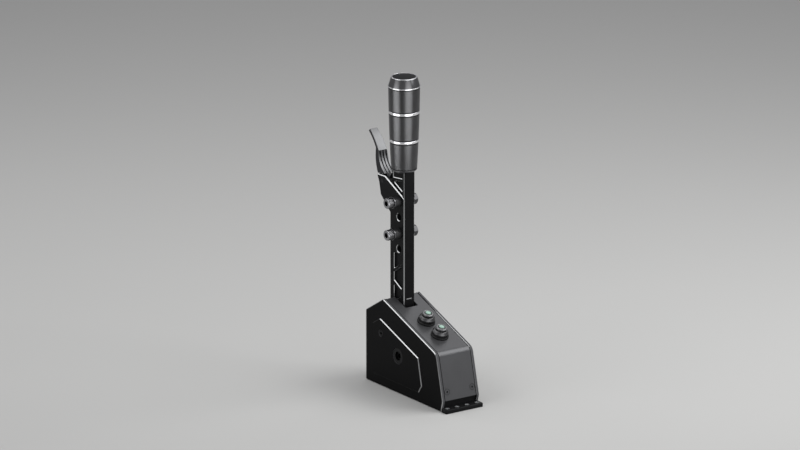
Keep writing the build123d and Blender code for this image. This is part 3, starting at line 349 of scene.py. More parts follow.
def satin_paint(name, tone, gloss=0.42, specular=0.4, texture=0.02, metallic=0.0):
    """Fine-textured satin paint, a little uneven in tone and gloss."""
    paint = Paint(name, {"Specular IOR Level": specular, "Metallic": metallic})
    cloud = paint.noise(30.0, 3.0)
    grain = paint.noise(3600.0, 3.0)
    fleck = paint.noise(1400.0, 1.0).within(0.62, 0.8) * 0.35
    ground = paint.shades(cloud.within(0.3, 0.75), tone, 0.94, 1.05)
    flecked = paint.mix(fleck, ground, shade(tone, 1.35))
    return paint.finish(flecked, gloss + cloud * 0.07 + grain * 0.05, grain, texture * MM)


def ringed_paint(name, tone, heads, radius):
    """Satin paint on screw heads, each with painted shade: a dark ring outside this radius, where the head
    meets its seat.
    """
    paint = Paint(name, {"Specular IOR Level": 0.4})
    x, _, z = paint.parts(paint.place)
    face = 0
    for centre_x, centre_z in heads:
        outward = off_axis(x - centre_x, z - centre_z)
        face = 1 - outward.within(radius, radius + 0.1 * MM) + face
    paint.feed({"Metallic": face * 0.5})
    grain = paint.noise(3600.0, 3.0)
    return paint.finish(paint.shades(face, tone, 0.06, 1.0), 0.32 + grain * 0.05, grain, 0.012 * MM)


def drilled_paint(name, tone, bare, holes, radius):
    """Matt paint with bare metal in the walls of upright holes."""
    paint = Paint(name, {"Specular IOR Level": 0.1})
    x, y, _ = paint.parts(paint.place)
    wall = 0
    for centre_x, centre_y in holes:
        wall = 1 - (off_axis(x - centre_x, y - centre_y) > radius + 0.3 * MM) + wall
    paint.feed({"Metallic": wall})
    grain = paint.noise(3600.0, 3.0)
    ground = paint.shades(grain, tone, 0.8, 1.2)
    return paint.finish(paint.mix(wall, ground, bare), 0.5 + grain * 0.08 - wall * 0.25, grain, 0.02 * MM)


def turned_metal(name, tone, gloss=0.25, line_depth=0.006, uneven=0.1, socket=None):
    """Metal turned on a lathe, with fine rings round its own Z axis.

    A socket is given as its radius and the height of the face round it. That face is painted lighter as a
    highlight, and the socket is painted dark inside as shade.
    """
    paint = Paint(name, {"Metallic": 1.0})
    x, y, z = paint.parts(paint.place)
    reach = off_axis(x, y)
    rings = paint.node("CombineXYZ", values={"X": reach, "Y": z})
    lines = paint.noise(5500.0, 2.0, rings.outputs["Vector"])
    cloud = paint.noise(90.0)
    ground = paint.shades(cloud.within(0.3, 0.7), tone, 1 - uneven, 1 + uneven)
    if socket:
        radius, face_low = socket
        face = z.within(face_low, face_low + 0.1 * MM)
        socket_shade = (1 - reach.within(radius - 0.1 * MM, radius)) * z.within(0.0, 1.0 * MM)
        ground = paint.mix(socket_shade, paint.mix(face, ground, shade(tone, 2.4)), shade(tone, 0.06))
    return paint.finish(ground, gloss + lines * 0.1 + cloud * 0.05, lines, line_depth * MM)


def plain_metal(name, tone, gloss=0.3, grain_depth=0.006, flanks=None):
    """Metal with a fine even grain; its sides along X may take a darker colour as painted shade."""
    paint = Paint(name, {"Metallic": 1.0})
    cloud = paint.noise(70.0, 3.0)
    grain = paint.noise(3000.0)
    ground = paint.shades(cloud.within(0.3, 0.7), tone, 0.88, 1.1)
    # Painted shade on the sides that face along X.
    if flanks:
        ground = paint.mix(paint.facing_x(0.72, 0.86), ground, flanks)
    return paint.finish(ground, gloss + cloud * 0.08 + grain * 0.06, grain, grain_depth * MM)


def knurled_metal(name, settings, low_z, high_z):
    """Dark turned metal, with painted shade darkening it down in the knurl's grooves."""
    paint = Paint(name, {"Metallic": 1.0})
    x, y, z = paint.parts(paint.place)
    along = (z - low_z) / (high_z - low_z)
    taper = settings.top_radius - settings.bottom_radius
    surface = settings.bottom_radius + along * taper + along * (1 - along) * (4 * settings.bulge)
    depth = surface - off_axis(x, y)
    groove = depth.within(0.12 * settings.knurl_depth, 0.7 * settings.knurl_depth)
    cloud = paint.noise(60.0)
    lines = paint.noise(1.0, 2.0, paint.stretched(60.0, 60.0, 4200.0))
    tone = settings.knurl_colour
    # Painted shade darkens the knurl's grooves.
    ground = paint.mix(groove, paint.shades(cloud, tone, 0.92, 1.08), shade(tone, 0.12))
    return paint.finish(ground, 0.24 + cloud * 0.05 + groove * 0.3, lines * (1 - groove), 0.02 * MM)


def rubber(name, tone):
    """Dull moulded rubber."""
    paint = Paint(name, {"Specular IOR Level": 0.3})
    grain = paint.noise(1800.0, 3.0)
    return paint.finish(paint.shades(grain, tone, 0.8, 1.3), 0.7 + grain * 0.15, grain, 0.03 * MM)


def moulded(name, tone, gloss=0.35, specular=0.4):
    """Moulded plastic with a faint grain."""
    paint = Paint(name, {"Specular IOR Level": specular})
    grain = paint.noise(2600.0)
    cloud = paint.noise(80.0)
    return paint.finish(paint.shades(cloud, tone, 0.9, 1.12), gloss + cloud * 0.06, grain, 0.006 * MM)


def lit_lens(name, tone, glow, radius):
    """A lit lens, pale in the middle, with painted shade darkening it round its edge, under a clear coat."""
    paint = Paint(name, {"Coat Weight": 0.6, "Coat Roughness": 0.05, "Emission Strength": glow})
    x, y, _ = paint.parts(paint.place)
    cells = paint.noise(900.0, 1.0)
    # Painted shade: darker towards the lens's edge, as in the shadow of its recess.
    tint_and_edge_shade = paint.shades((off_axis(x, y) / radius).within(0.58, 0.86), tone, 1.1, 0.06)
    paint.feed({"Emission Color": paint.mix(cells * 0.3, tint_and_edge_shade, shade(tone, 0.8))})
    return paint.finish(tint_and_edge_shade, 0.18, cells, 0.01 * MM)


def circuit_board(name, tone):
    """Green solder mask over faint copper tracks."""
    paint = Paint(name, {"Specular IOR Level": 0.6})
    tracks = paint.node("TexBrick", {"offset": 0.5}, {
        "Vector": paint.stretched(1.0, 1.0, 0.0), "Scale": 190.0, "Mortar Size": 0.035,
        "Brick Width": 0.9, "Row Height": 0.35})
    copper = Signal(paint.tree, tracks.outputs["Fac"])
    return paint.finish(paint.shades(copper, tone, 1.0, 2.0), 0.3 + copper * 0.1, copper, 0.03 * MM)


def floor_finish(name, tone):
    """A pale even floor with the faintest mottling."""
    paint = Paint(name, {"Specular IOR Level": 0.1})
    cloud = paint.noise(1.5, 3.0)
    paint.feed({"Base Color": paint.shades(cloud, tone, 0.985, 1.015), "Roughness": 0.75 + cloud * 0.1})
    return paint.material


# Shapes
def added(name, data):
    """A new object in the scene."""
    piece = bpy.data.objects.new(name, data)
    bpy.context.scene.collection.objects.link(piece)
    return piece


def finished(mesh, name, material, matrix=None, sharp=30.0):
    """An object for a mesh, smooth but for edges sharper than this many degrees."""
    shape = bmesh.new()
    shape.from_mesh(mesh)
    bmesh.ops.remove_doubles(shape, verts=shape.verts, dist=1e-7)
    bmesh.ops.recalc_face_normals(shape, faces=shape.faces)
    shape.to_mesh(mesh)
    shape.free()
    mesh.shade_smooth()
    mesh.set_sharp_from_angle(angle=radians(sharp))
    mesh.materials.append(material)
    piece = added(name, mesh)
    piece.matrix_world = matrix or Matrix.Identity(4)
    return piece


def softened(corners, size, steps=3, closed=True):
    """An outline of (radius, height) corners with each one rounded, but for those on the axis."""
    outline = []
    count = len(corners)
    for index, corner in enumerate(corners):
        on_end = not closed and index in (0, count - 1)
        if on_end or corner[0] == 0:
            outline.append(corner)
            continue
        here = Vector(corner)
        before = Vector(corners[index - 1]) - here
        after = Vector(corners[(index + 1) % count]) - here
        reach = min(size, before.length * 0.45, after.length * 0.45)
        start = here + before.normalized() * reach
        end = here + after.normalized() * reach
        for step in range(steps + 1):
            t = step / steps
            spot = start * (1 - t) ** 2 + here * (2 * t * (1 - t)) + end * t ** 2
            outline.append((spot.x, spot.y))
    return outline


def turned_mesh(name, outline, count, closed=True):
    """A mesh turned about Z. Each point is (radius, height), and a radius may depend on the angle."""
    spots = []
    for step in range(count):
        angle = 2 * pi * step / count
        for radius, height in outline:
            reach = radius(angle) if callable(radius) else radius
            spots.append((reach * cos(angle), reach * sin(angle), height))
    rows = len(outline)
    last = rows if closed else rows - 1
    faces = []
    for step in range(count):
        here, there = step * rows, (step + 1) % count * rows
        for row in range(last):
            above = (row + 1) % rows
            faces.append((here + row, there + row, there + above, here + above))
    mesh = bpy.data.meshes.new(name)
    mesh.from_pydata(spots, [], faces)
    return mesh


def tube(inner, outer, low, high, edge, steps=3):
    """A tube's outline with rounded edges."""
    return softened([(inner, low), (outer, low), (outer, high), (inner, high)], edge, steps)


def hexagonal(width, growth=0.0):
    """A radius that follows a hexagon of this width across its flats, grown by a length."""
    def reach(angle):
        turn = (angle + pi / 6) % (pi / 3) - pi / 6
        return width / 2 / cos(turn) + growth
    return reach


def carried(piece, body, node):
    """Puts a piece on a body and hides the CAD node whose place it takes."""
    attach(piece, body)
    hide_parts(node)


def turned(name, outline, material, body, node, place=None, count=96, closed=True, sharp=30.0):
    """A turned piece on a body, in the place of a CAD node."""
    mesh = turned_mesh(name, outline, count, closed)
    carried(finished(mesh, name, material, place, sharp), body, node)


def dress(material, *names):
    """Gives CAD nodes a finish."""
    for name in names:
        for slot in frame["nodes"][name].material_slots:
            slot.material = material


def placed(origin, turn):
    """A placement from an origin and a rotation."""
    return Matrix.Translation(origin) @ turn.to_4x4()


def seat_along(node, turn):
    """A node's lowest and highest corners along a turned axis, its radius there and its placement."""
    back = turn.inverted()
    spots = [back @ vertex.co for vertex in frame["nodes"][node].data.vertices]
    low, high = [Vector([pick(spot[i] for spot in spots) for i in range(3)]) for pick in (min, max)]
    middle = turn @ Vector((0, (low.y + high.y) / 2, 0))
    return low, high, (high.x - low.x) / 2, placed(middle, turn)


def joint_named(name):
    """A joint's values from the frame."""
    return next(joint for joint in frame["joints"] if joint["name"] == name)


# Housing
class SHIFTER_OT_housing(Operator):
    """Finish the side plates, covers, base, blocks and screws"""
    bl_idname = "shifter.housing"
    bl_label = "Housing"

    def execute(self, context):
        settings = context.scene.shifter_housing
        bare = settings.bare_colour
        cover = settings.cover_colour
        plates = anodised("plate_anodised", settings.plate_colour, bare, rim=cover)
        dress(plates, "side_plate_left", "side_plate_right")
        dress(satin_paint("cover_satin", cover, gloss=0.27, metallic=0.5, texture=0.012),
              "top_cover", "rear_cover")
        low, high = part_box("front_screws")
        head = settings.screw_head_radius
        rise = high.z - head * cos(settings.front_lean)
        heads = [(low.x + head, rise), (high.x - head, rise)]
        # Painted shade darkens a ring round the edge of each front screw's head.
        ringed = ringed_paint("screw_ringed", shade(cover, 0.9), heads, head - settings.screw_shade_ring)
        dress(ringed, "front_screws")
        tone = settings.base_colour
        base = satin_paint("base_matt", tone, gloss=0.5, specular=0.1)
        dress(base, "front_block", "spring_block_rear", "spring_block_front")
        low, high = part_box("base_plate")
        row = low.y + settings.hole_setback
        outer = high.x - settings.hole_edge
        holes = [(outer * share, row) for share in (-1, -1 / 3, 1 / 3, 1)]
        drilled = drilled_paint("base_drilled", tone, shade(bare, 1.8), holes, settings.hole_radius)
        dress(drilled, "base_plate")
        screws = plain_metal("screw_black", settings.screw_colour, gloss=0.32)
        dress(screws, "rear_screws", "base_screws", "pivot_screws", "stop_shaft", "stop_shaft_cap")
        return {"FINISHED"}


# Lever and handle
class SHIFTER_OT_lever(Operator):
    """Finish the lever and the handle's bracket"""
    bl_idname = "shifter.lever"
    bl_label = "Lever"

    def execute(self, context):
        settings = context.scene.shifter_lever
        bare = context.scene.shifter_housing.bare_colour
        black = settings.anodised_colour
        # The lever's foot gets a painted highlight, a thin bright band just behind its front face.
        height = joint_named("lever_shift")["pos_m"][2] + settings.glint_rise
        front, depth, half_width, half_height = settings.glint_front, settings.glint_depth, 10 * MM, 0.9 * MM
        painted_glint = ((-half_width, front + 0.12 * MM, height - half_height),
                (half_width, front + depth + 0.1 * MM, height + half_height))
        dress(anodised("lever_anodised", black, bare, painted_glint=painted_glint, gloss=0.36), "lever_beam")
        dress(anodised("bracket_anodised", black, bare, gloss=0.36), "handle_bracket")
        return {"FINISHED"}


def bolt_outline(settings, low_x, head_low, head_high, head_radius):
    """A cap screw's outline from the socket's floor round the head and down the thread."""
    socket_floor = head_high - 0.56 * (head_high - head_low)
    socket_width, bevel, ridge, shank = 6.0 * MM, 0.35 * MM, 0.16 * MM, 4.0 * MM
    socket = hexagonal(socket_width)
    mouth = hexagonal(socket_width, bevel)

    def ridged(angle):
        return head_radius - ridge * abs((angle * settings.bolt_knurls / pi) % 2 - 1)

    outline = [(0, socket_floor), (socket, socket_floor), (socket, head_high - bevel), (mouth, head_high)]
    for inward, drop in ((1.0, 0), (0.6, 0.12), (0.3, 0.4), (0.16, 0.8)):
        outline.append((head_radius - inward * MM, head_high - drop * MM))
    outline += [(ridged, head_high - 1.0 * MM), (ridged, head_low + 0.7 * MM),
                (head_radius - 0.3 * MM, head_low + 0.3 * MM), (head_radius - 0.5 * MM, head_low)]
    pitch, turns, groove, tip_bevel = settings.thread_pitch, 3, 0.6 * MM, 0.3 * MM
    thread_top = low_x + turns * pitch
    outline += [(shank, head_low), (shank, thread_top)]
    for turn in range(turns):
        outline.append((shank - groove, thread_top - (turn + 0.5) * pitch))
        outline.append((shank, thread_top - (turn + 1) * pitch))
    outline[-1] = (shank, low_x + tip_bevel)
    outline += [(shank - 0.7 * MM, low_x), (0, low_x)]
    return outline


def nut_outline(bottom, top):
    """A hexagonal nut's outline, whose corners are turned off at both ends."""
    width, hole, mouth, hole_bevel = 13.0 * MM, 4.05 * MM, 4.6 * MM, 0.5 * MM
    inner, outer = width / 2 - 0.15 * MM, 7.35 * MM
    drop, slope, steps = 1.9 * MM, 0.55, 5
    flat = hexagonal(width)

    def eased(level):
        def reach(angle):
            return min(flat(angle), inner + (outer - inner) * level)
        return reach

    half = [(hole, hole_bevel), (mouth, 0)]
    half += [(eased(step / steps), drop * step / steps * slope) for step in range(steps)]
    half.append((eased(1), drop))
    upper = [(radius, top - rise) for radius, rise in reversed(half)]
    return [(radius, bottom + rise) for radius, rise in half] + upper


class SHIFTER_OT_clamp(Operator):
    """Make the clamp bolts, washers, spacers and nuts"""
    bl_idname = "shifter.clamp"
    bl_label = "Clamp bolts"

    def execute(self, context):
        settings = context.scene.shifter_lever
        black = satin_paint("spacer_black", settings.spacer_colour, gloss=0.35)
        low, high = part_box("clamp_bolts")
        tone = settings.bolt_colour
        face_depth, socket_radius, bore = 1.05 * MM, 3.4 * MM, 4.4 * MM
        # The bolts' heads get a painted highlight on their top faces and painted shade inside their sockets.
        steel = turned_metal("bolt_steel", tone, gloss=0.13, socket=(socket_radius, -low.x - face_depth))
        # Painted shade: the nuts take a darker copy of the bolts' steel.
        nut_steel = turned_metal("nut_steel", shade(tone, 0.62), gloss=0.2)
        head_radius = (high.y - low.y) / 2
        washer_low, washer_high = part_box("clamp_washers")
        washer_radius = (washer_high.y - washer_low.y) / 2
        spacer_low, spacer_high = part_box("clamp_spacers")
        spacer_radius = (spacer_high.y - spacer_low.y) / 2
        nut_low, nut_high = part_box("clamp_nuts")
        to_head = Matrix.Rotation(radians(-90), 3, "Y")
        heads_x = washer_low.x
        names = {"upper": washer_high.z - washer_radius, "lower": washer_low.z + washer_radius}
        for name, z in names.items():
            place = placed(Vector((0, 0, z)), to_head)
            bolt = bolt_outline(settings, -high.x, -heads_x, -low.x, head_radius)
            turned(f"clamp_bolt_{name}", bolt, steel, "lever", "clamp_bolts", place, count=192, closed=False)
            sides = {"head": (-spacer_low.x, -heads_x), "nut": (-washer_high.x, -nut_low.x)}
            for side, (bottom, top) in sides.items():
                washer = tube(bore, washer_radius, bottom, top, 0.25 * MM)
                turned(f"clamp_washer_{side}_{name}", washer, steel, "lever", "clamp_washers", place)
            spacer = tube(bore, spacer_radius, -spacer_high.x, -spacer_low.x, 0.5 * MM)
            turned(f"clamp_spacer_{name}", spacer, black, "lever", "clamp_spacers", place)
            nut = nut_outline(-nut_high.x, -nut_low.x)
            turned(f"clamp_nut_{name}", nut, nut_steel, "lever", "clamp_nuts", place, count=144)
        return {"FINISHED"}


# Grip
class GripShape:
    """The grip's outline, read from its settings and its nodes' places."""

    def __init__(self, settings):
        self.settings = settings
        self.low_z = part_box("grip_collar")[0].z
        self.crown_low, self.crown_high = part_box("grip_crown")
        crown_ring_height = 1.3 * MM
        self.high_z = self.crown_low.z + crown_ring_height
        self.bore = 7.1 * MM

    def radius(self, z):
        """The grip's radius at a height."""
        along = (z - self.low_z) / (self.high_z - self.low_z)
        taper = self.settings.top_radius - self.settings.bottom_radius
        return self.settings.bottom_radius + taper * along + 4 * self.settings.bulge * along * (1 - along)

    def sleeve(self, name, low, high, material):
        """A knurled sleeve: staggered flat diamonds between crossed grooves, and two bevelled ends."""
        settings = self.settings
        middle = self.radius((low + high) / 2)
        columns = 2 * round(2 * pi * middle / settings.knurl_pitch)
        edge = 0.55 * MM
        start, end = low + edge, high - edge
        rows = 2 * round((end - start) / settings.knurl_height)
        spots, faces = [], []

        def add(column, z, reach):
            angle = 2 * pi * column / columns
            spots.append((reach * cos(angle), reach * sin(angle), z))

        def add_knurl(column, row, drop):
            z = start + (end - start) * row / rows
            add(column, z, self.radius(z) - drop)

        def add_ring(z, reach):
            for column in range(columns):
                add(column, z, reach)
            return len(spots) - columns

        def join(one, two):
            for column in range(columns):
                beside = (column + 1) % columns
                faces.append((one + column, one + beside, two + beside, two + column))

        bottom_bore = add_ring(low, self.bore)
        bottom_rim = add_ring(low, self.radius(low) - edge)
        grid = len(spots)
        for row in range(rows + 1):
            for column in range(columns):
                add_knurl(column, row, settings.knurl_depth)
        top_rim = add_ring(high, self.radius(high) - edge)
        top_bore = add_ring(high, self.bore)
        last_row = grid + rows * columns
        for pair in ((bottom_bore, bottom_rim), (bottom_rim, grid), (last_row, top_rim),
                     (top_rim, top_bore), (top_bore, bottom_bore)):
            join(*pair)

        def valley(column, row):
            return grid + row * columns + column % columns

        flat = settings.knurl_flat
        for row in range(1, rows):
            for column in range(row % 2, columns, 2):
                around = ((column - 1, row), (column, row - 1), (column + 1, row), (column, row + 1))
                first = len(spots)
                for beside_column, beside_row in around:
                    add_knurl(column + (beside_column - column) * flat, row + (beside_row - row) * flat, 0)
                faces.append(tuple(range(first, first + 4)))
                for side in range(4):
                    after = (side + 1) % 4
                    faces.append((first + side, valley(*around[side]), valley(*around[after]), first + after))
        for row, inner in ((0, 1), (rows, rows - 1)):
            for column in range(0, columns, 2):
                for beside in (column - 1, column + 1):
                    faces.append((valley(column, row), valley(beside, row), valley(column, inner)))
        mesh = bpy.data.meshes.new(name)
        mesh.from_pydata(spots, [], faces)
        return finished(mesh, name, material, sharp=12.0)

    def ring(self, low, high, proud):
        """The outline of a ring that stands proud of the grip."""
        corners = [(self.bore, low), (self.radius(low) + proud, low),
                   (self.radius(high) + proud, high), (self.bore, high)]
        return softened(corners, 0.7 * MM, steps=5)


class SHIFTER_OT_grip(Operator):
    """Make the knurled grip with its rings, collar, crown and cap"""
    bl_idname = "shifter.grip"
    bl_label = "Grip"

    def execute(self, context):
        settings = context.scene.shifter_grip
        shape = GripShape(settings)
        knurl = knurled_metal("grip_knurl", settings, shape.low_z, shape.high_z)
        chrome = turned_metal("grip_chrome", settings.chrome_colour, gloss=0.06, line_depth=0.001,
                              uneven=0.03)
        dark = turned_metal("grip_dark", settings.dark_colour, gloss=0.16, line_depth=0.003)
        crown = turned_metal("crown_chrome", settings.crown_colour, gloss=0.12, line_depth=0.002,
                             uneven=0.04)
        black = moulded("cap_black", settings.cap_colour, gloss=0.3, specular=0.06)
        for name in ("lower", "middle", "upper"):
            node = f"grip_sleeve_{name}"
            low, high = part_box(node)
            carried(shape.sleeve(f"knurled_sleeve_{name}", low.z, high.z, knurl), "lever", node)
        for name in ("lower", "upper"):
            node = f"grip_ring_{name}"
            low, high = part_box(node)
            ring = shape.ring(low.z, high.z, proud=0.3 * MM)
            turned(f"chrome_ring_{name}", ring, chrome, "lever", node, count=160, sharp=40.0)
        low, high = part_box("grip_collar")
        bevel = 1.8 * MM
        corners = [(shape.bore, low.z), (shape.radius(low.z) - bevel, low.z),
                   (shape.radius(low.z), low.z + bevel), (shape.radius(high.z), high.z),
                   (shape.bore, high.z)]
        collar = softened(corners, 0.2 * MM)
        turned("grip_end_collar", collar, dark, "lever", "grip_collar", count=160)
        self.make_crown(shape, crown, chrome, black)
        dress(plain_metal("grip_screw_black", (0.05, 0.05, 0.052)), "grip_screw")
        return {"FINISHED"}

    def make_crown(self, shape, crown, chrome, black):
        """The bright ring, the conical crown above it and the cap in its recess."""
        high_z, top_z, wide = shape.high_z, shape.crown_high.z, shape.crown_high.x
        bright = tube(shape.bore, wide, shape.crown_low.z, high_z, 0.35 * MM, steps=4)
        turned("crown_bright_ring", bright, chrome, "lever", "grip_crown", count=160, sharp=40.0)
        cap_low, cap_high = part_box("grip_cap")
        cap_radius = cap_high.x
        recess, mouth, rim = cap_radius + 0.05 * MM, 15.8 * MM, 15.95 * MM
        waist, rim_z = wide - 0.6 * MM, top_z - 0.7 * MM
        screw_hole, screw_head, screw_seat = 3.4 * MM, 5.4 * MM, high_z + 4.5 * MM
        cap_seat = cap_low.z - 0.05 * MM
        corners = [(screw_hole, high_z), (waist, high_z), (waist - 0.15 * MM, high_z + 0.8 * MM),
                   (rim, rim_z), (recess, rim_z), (recess, cap_seat),
                   (screw_head, cap_seat), (screw_head, screw_seat), (screw_hole, screw_seat)]
        cone = softened(corners, 0.15 * MM, steps=4)
        turned("crown_cone", cone, crown, "lever", "grip_crown", count=160)
        lip = softened([(recess, rim_z), (rim, rim_z), (mouth, top_z), (recess, top_z)], 0.4 * MM, steps=5)
        turned("crown_rim", lip, chrome, "lever", "grip_crown", count=160, sharp=60.0)
        disc = softened([(0, cap_low.z), (cap_radius, cap_low.z), (cap_radius, cap_high.z), (0, cap_high.z)],
                        0.4 * MM, steps=4, closed=False)
        turned("top_cap", disc, black, "lever", "grip_cap", count=128, closed=False)


# Trigger
class SHIFTER_OT_trigger(Operator):
    """Finish the trigger, its pin and its spring"""
    bl_idname = "shifter.trigger"
    bl_label = "Trigger"

    def execute(self, context):
        settings = context.scene.shifter_trigger
        # The trigger's sides get painted shade.
        satin = plain_metal("trigger_satin", settings.metal_colour, gloss=0.34, grain_depth=0.01,
                            flanks=settings.flank_shade_colour)
        dress(satin, "trigger")
        steel = context.scene.shifter_mechanism.steel_colour
        dress(plain_metal("trigger_steel", steel, gloss=0.22), "trigger_spring")
        dress(plain_metal("trigger_pin_black", (0.03, 0.03, 0.032), gloss=0.35), "trigger_pin")
        return {"FINISHED"}


# Buttons
class SHIFTER_OT_buttons(Operator):
    """Make the two push buttons on the slope"""
    bl_idname = "shifter.buttons"
    bl_label = "Push buttons"

    def execute(self, context):
        settings = context.scene.shifter_buttons
        mechanism = context.scene.shifter_mechanism
        skirt = satin_paint("button_skirt", settings.skirt_colour, gloss=0.35, specular=0.2)
        collar = turned_metal("button_collar", settings.collar_colour, gloss=0.26)
        ring = turned_metal("button_ring", settings.cap_colour, gloss=0.26)
        steel = plain_metal("button_nut_steel", mechanism.steel_colour)
        chip = moulded("button_switch_black", mechanism.chip_colour)
        for name in ("upper", "lower"):
            outward = -Vector(joint_named(f"button_{name}_press")["axis"])
            turn = Vector((0, 0, 1)).rotation_difference(outward).to_matrix()
            self.make_button(name, turn, skirt, collar)
            self.make_cap(name, turn, ring)
            self.make_lens(name, turn, settings)
            dress(steel, f"button_nut_{name}")
            dress(chip, f"button_switch_{name}")
        return {"FINISHED"}

    def make_button(self, name, turn, skirt, collar):
        """The skirt with its barrel below the cover, and the bevelled collar on it."""
        node = f"button_body_{name}"
        low, high, wide, place = seat_along(node, turn)
        collar_radius, ridge, bore, barrel = 7.8 * MM, 10.0 * MM, 5.95 * MM, 8.0 * MM
        collar_height, skirt_height, flange_height = 3.2 * MM, 5.8 * MM, 1.8 * MM
        collar_top = high.z
        skirt_top = collar_top - collar_height
        shoulder = skirt_top - 0.5 * MM
        face = skirt_top - skirt_height
        flange = face + flange_height
        outside = softened([(collar_radius, shoulder), (ridge - 0.5 * MM, shoulder),
                            (ridge, skirt_top - 0.9 * MM), (ridge, flange + 0.5 * MM),
                            (wide, flange - 0.3 * MM), (wide, face), (barrel, face), (barrel, low.z),
                            (bore, low.z), (bore, shoulder)], 0.35 * MM)
        turned(f"button_skirt_{name}", outside, skirt, "base", node, place, count=128)
        bevel = softened([(bore, skirt_top - 0.7 * MM), (ridge - 0.2 * MM, skirt_top - 0.6 * MM),
                          (ridge - 0.05 * MM, skirt_top), (collar_radius, collar_top - 0.3 * MM),
                          (collar_radius - 0.5 * MM, collar_top), (bore, collar_top)], 0.3 * MM)
        turned(f"button_collar_{name}", bevel, collar, "base", node, place, count=128)

    def make_cap(self, name, turn, ring):
        """The cap with a recess for its lens."""
        node = f"button_cap_{name}"
        low, high, wide, place = seat_along(node, turn)
        lens_low, _, lens_radius, _ = seat_along(f"button_lens_{name}", turn)
        neck, under, recess = 5.6 * MM, high.z - 2.4 * MM, lens_radius + 0.05 * MM
        sides = softened([(0, low.z), (neck, low.z), (neck, under), (wide, under), (wide, high.z - 0.7 * MM),
                          (wide - 0.55 * MM, high.z - 0.15 * MM), (lens_radius + 0.45 * MM, high.z),
                          (recess, high.z - 0.25 * MM), (recess, lens_low.z), (0, lens_low.z)],
                         0.25 * MM, closed=False)
        turned(f"button_ring_{name}", sides, ring, f"button_{name}", node, place, count=128, closed=False)

    def make_lens(self, name, turn, settings):
        """The domed lens, which rises from the cap's top edge."""
        node = f"button_lens_{name}"
        low, high, radius, _ = seat_along(node, turn)
        _, cap_high, _, place = seat_along(f"button_cap_{name}", turn)
        rise = high.z - cap_high.z
        dome = (radius ** 2 + rise ** 2) / (2 * rise)
        steps = 12
        outline = [(0, low.z), (radius, low.z)]
        for step in range(steps + 1):
            reach = radius * (1 - step / steps)
            outline.append((reach, high.z - dome + sqrt(dome ** 2 - reach ** 2)))
        glass = lit_lens(f"lens_green_{name}", settings.lens_colour, settings.glow, radius)
        turned(f"button_lens_{name}_lit", outline, glass, f"button_{name}", node, place, closed=False)


# Mechanism and electronics
class SHIFTER_OT_mechanism(Operator):
    """Finish the pivot, stop, springs and guide rod"""
    bl_idname = "shifter.mechanism"
    bl_label = "Mechanism"

    def execute(self, context):
        settings = context.scene.shifter_mechanism
        steel = plain_metal("bright_steel", settings.steel_colour, gloss=0.2)
        dress(steel, "pivot_shaft", "guide_rod", "guide_nut", "lever_magnet")
        for side in ("rear", "front"):
            self.make_spring(side, steel)
        dress(plain_metal("bush_bronze", settings.bronze_colour), "pivot_bushes")
        dress(plain_metal("spacer_aluminium", settings.aluminium_colour), "pivot_spacers")
        dress(rubber("stop_rubber", settings.rubber_colour), "stop_sleeve")
        return {"FINISHED"}

    def make_spring(self, side, material):
        """A copy of a spring's coil on the base, in its CAD node's place. How far the lever's foot swings at
        its limit is worked out, but the coil is not shortened.
        """
        node = f"centring_spring_{side}"
        mesh = frame["nodes"][node].data.copy()
        mesh.materials.clear()
        mesh.materials.append(material)
        coil = added(f"{node}_coil", mesh)
        low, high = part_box(node)
        carried(coil, "base", node)
        joint = joint_named("lever_shift")
        arm = max(abs(low.z - joint["pos_m"][2]), abs(high.z - joint["pos_m"][2]))
        swing = arm * sin(radians(joint["range_deg"][1]))
        1 - swing / (high.y - low.y)
        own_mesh(coil)


class SHIFTER_OT_electronics(Operator):
    """Finish the main board, its standoffs and screws, the sensor and the cable socket"""
    bl_idname = "shifter.electronics"
    bl_label = "Electronics"

    def execute(self, context):
        settings = context.scene.shifter_mechanism
        dress(circuit_board("board_green", settings.board_colour), "main_board")
        dress(moulded("chip_black", settings.chip_colour), "position_sensor")
        dress(plain_metal("standoff_brass", settings.bronze_colour), "board_standoffs")
        steel = plain_metal("socket_steel", settings.steel_colour, gloss=0.18)
        dress(steel, "board_screws", "cable_socket")
        return {"FINISHED"}


# Studio
def direction(azimuth, elevation):
    """The direction from the shifter at these angles, with azimuth 0 in front of it."""
    return Vector((sin(azimuth) * cos(elevation), -cos(azimuth) * cos(elevation), sin(elevation)))


def softbox(name, azimuth, elevation, distance, size, brightness, target_z=0.2, spread=180):
    """A rectangular soft light that faces a point on the shifter's axis.

    Its angles are in degrees, its lengths in metres, and its brightness is that of its face.
    """
    lamp = bpy.data.lights.new(name, "AREA")
    lamp.shape = "RECTANGLE"
    lamp.spread = radians(spread)
    lamp.size, lamp.size_y = size
    lamp.energy = brightness * pi * size[0] * size[1]
    holder = added(name, lamp)
    spot = direction(radians(azimuth), radians(elevation)) * distance
    holder.location = Vector((0, 0, target_z)) + spot
    holder.rotation_euler = (-spot).to_track_quat("-Z", "Y").to_euler()
    holder.visible_camera = False


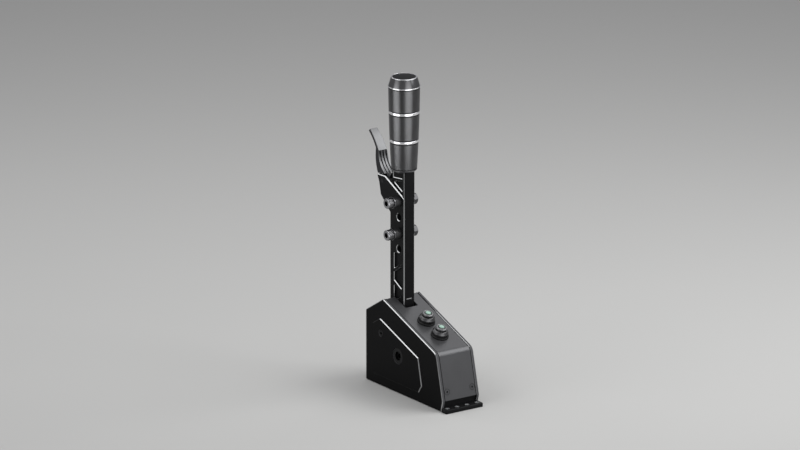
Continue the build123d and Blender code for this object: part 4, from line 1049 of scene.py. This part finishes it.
class SHIFTER_OT_studio(Operator):
    """Make the floor, the lights, the surround and the camera"""
    bl_idname = "shifter.studio"
    bl_label = "Studio"

    def execute(self, context):
        scene = context.scene
        settings = scene.shifter_studio
        reach, dip = 9.0, 0.3 * MM
        mesh = turned_mesh("studio_floor", [(0, -dip), (reach / 2, -dip), (reach, -dip)], 96, closed=False)
        floor = finished(mesh, "studio_floor", floor_finish("floor_pale", settings.floor_colour))
        world = bpy.data.worlds.new("surround")
        world.use_nodes = True
        surround = world.node_tree.nodes["Background"]
        surround.inputs["Color"].default_value = (*settings.surround_colour, 1.0)
        scene.world = world
        softbox("overhead_softbox", -20, 80, 1.6, (1.2, 0.9), 1.6)
        # The next two face upwards with a narrow spread, which keeps their light's edge off the floor.
        softbox("left_softbox", -94, -16, 0.73, (0.60, 0.82), 0.66, target_z=0.64, spread=82)
        softbox("right_softbox", -2, -15, 0.73, (0.64, 0.82), 0.8, target_z=0.64, spread=92)
        softbox("left_high_softbox", -105, 46, 1.5, (1.2, 0.65), 1.8)
        softbox("left_rear_softbox", -160, 34, 1.5, (0.8, 0.5), 1.5)
        softbox("right_high_softbox", 54, 42, 1.4, (1.1, 0.9), 3.8)
        softbox("right_rear_softbox", 127, 46, 1.5, (0.8, 0.6), 1.1)
        scene.view_settings.view_transform = "Standard"
        self.make_camera(scene, settings)
        return {"FINISHED"}

    def make_camera(self, scene, settings):
        """A far camera with a long lens, where the photograph was taken from."""
        data = bpy.data.cameras.new("photo_camera")
        data.lens = settings.camera_lens
        data.sensor_width = 36.0
        data.clip_end = 50.0
        camera = added("photo_camera", data)
        picture_middle = Vector((-6.04 * MM, 0, 202.1 * MM))
        away = direction(settings.camera_azimuth, settings.camera_elevation)
        camera.location = picture_middle + away * settings.camera_distance
        camera.rotation_euler = (-away).to_track_quat("-Z", "Y").to_euler()
        scene.camera = camera


OPERATORS = (
    SHIFTER_OT_housing,
    SHIFTER_OT_lever,
    SHIFTER_OT_clamp,
    SHIFTER_OT_grip,
    SHIFTER_OT_trigger,
    SHIFTER_OT_buttons,
    SHIFTER_OT_mechanism,
    SHIFTER_OT_electronics,
    SHIFTER_OT_studio,
)


class SHIFTER_PT_panel(Panel):
    """Lists the shifter's settings and operators"""
    bl_idname = "SHIFTER_PT_panel"
    bl_label = "Gear shifter"
    bl_space_type = "VIEW_3D"
    bl_region_type = "UI"
    bl_category = "Shifter"

    def draw(self, context):
        for name in SETTINGS:
            box = self.layout.box()
            group = getattr(context.scene, name)
            for key in group.__annotations__:
                box.prop(group, key)
        for operator in OPERATORS:
            self.layout.operator(operator.bl_idname)


CLASSES = (*SETTINGS.values(), *OPERATORS, SHIFTER_PT_panel)


def register():
    for kind in CLASSES:
        bpy.utils.register_class(kind)
    for name, settings in SETTINGS.items():
        setattr(bpy.types.Scene, name, PointerProperty(type=settings))


def unregister():
    for name in SETTINGS:
        delattr(bpy.types.Scene, name)
    for kind in reversed(CLASSES):
        bpy.utils.unregister_class(kind)


def main():
    register()
    for operator in OPERATORS:
        group, name = operator.bl_idname.split(".")
        getattr(getattr(bpy.ops, group), name)()


if __name__ == "__main__":
    main()
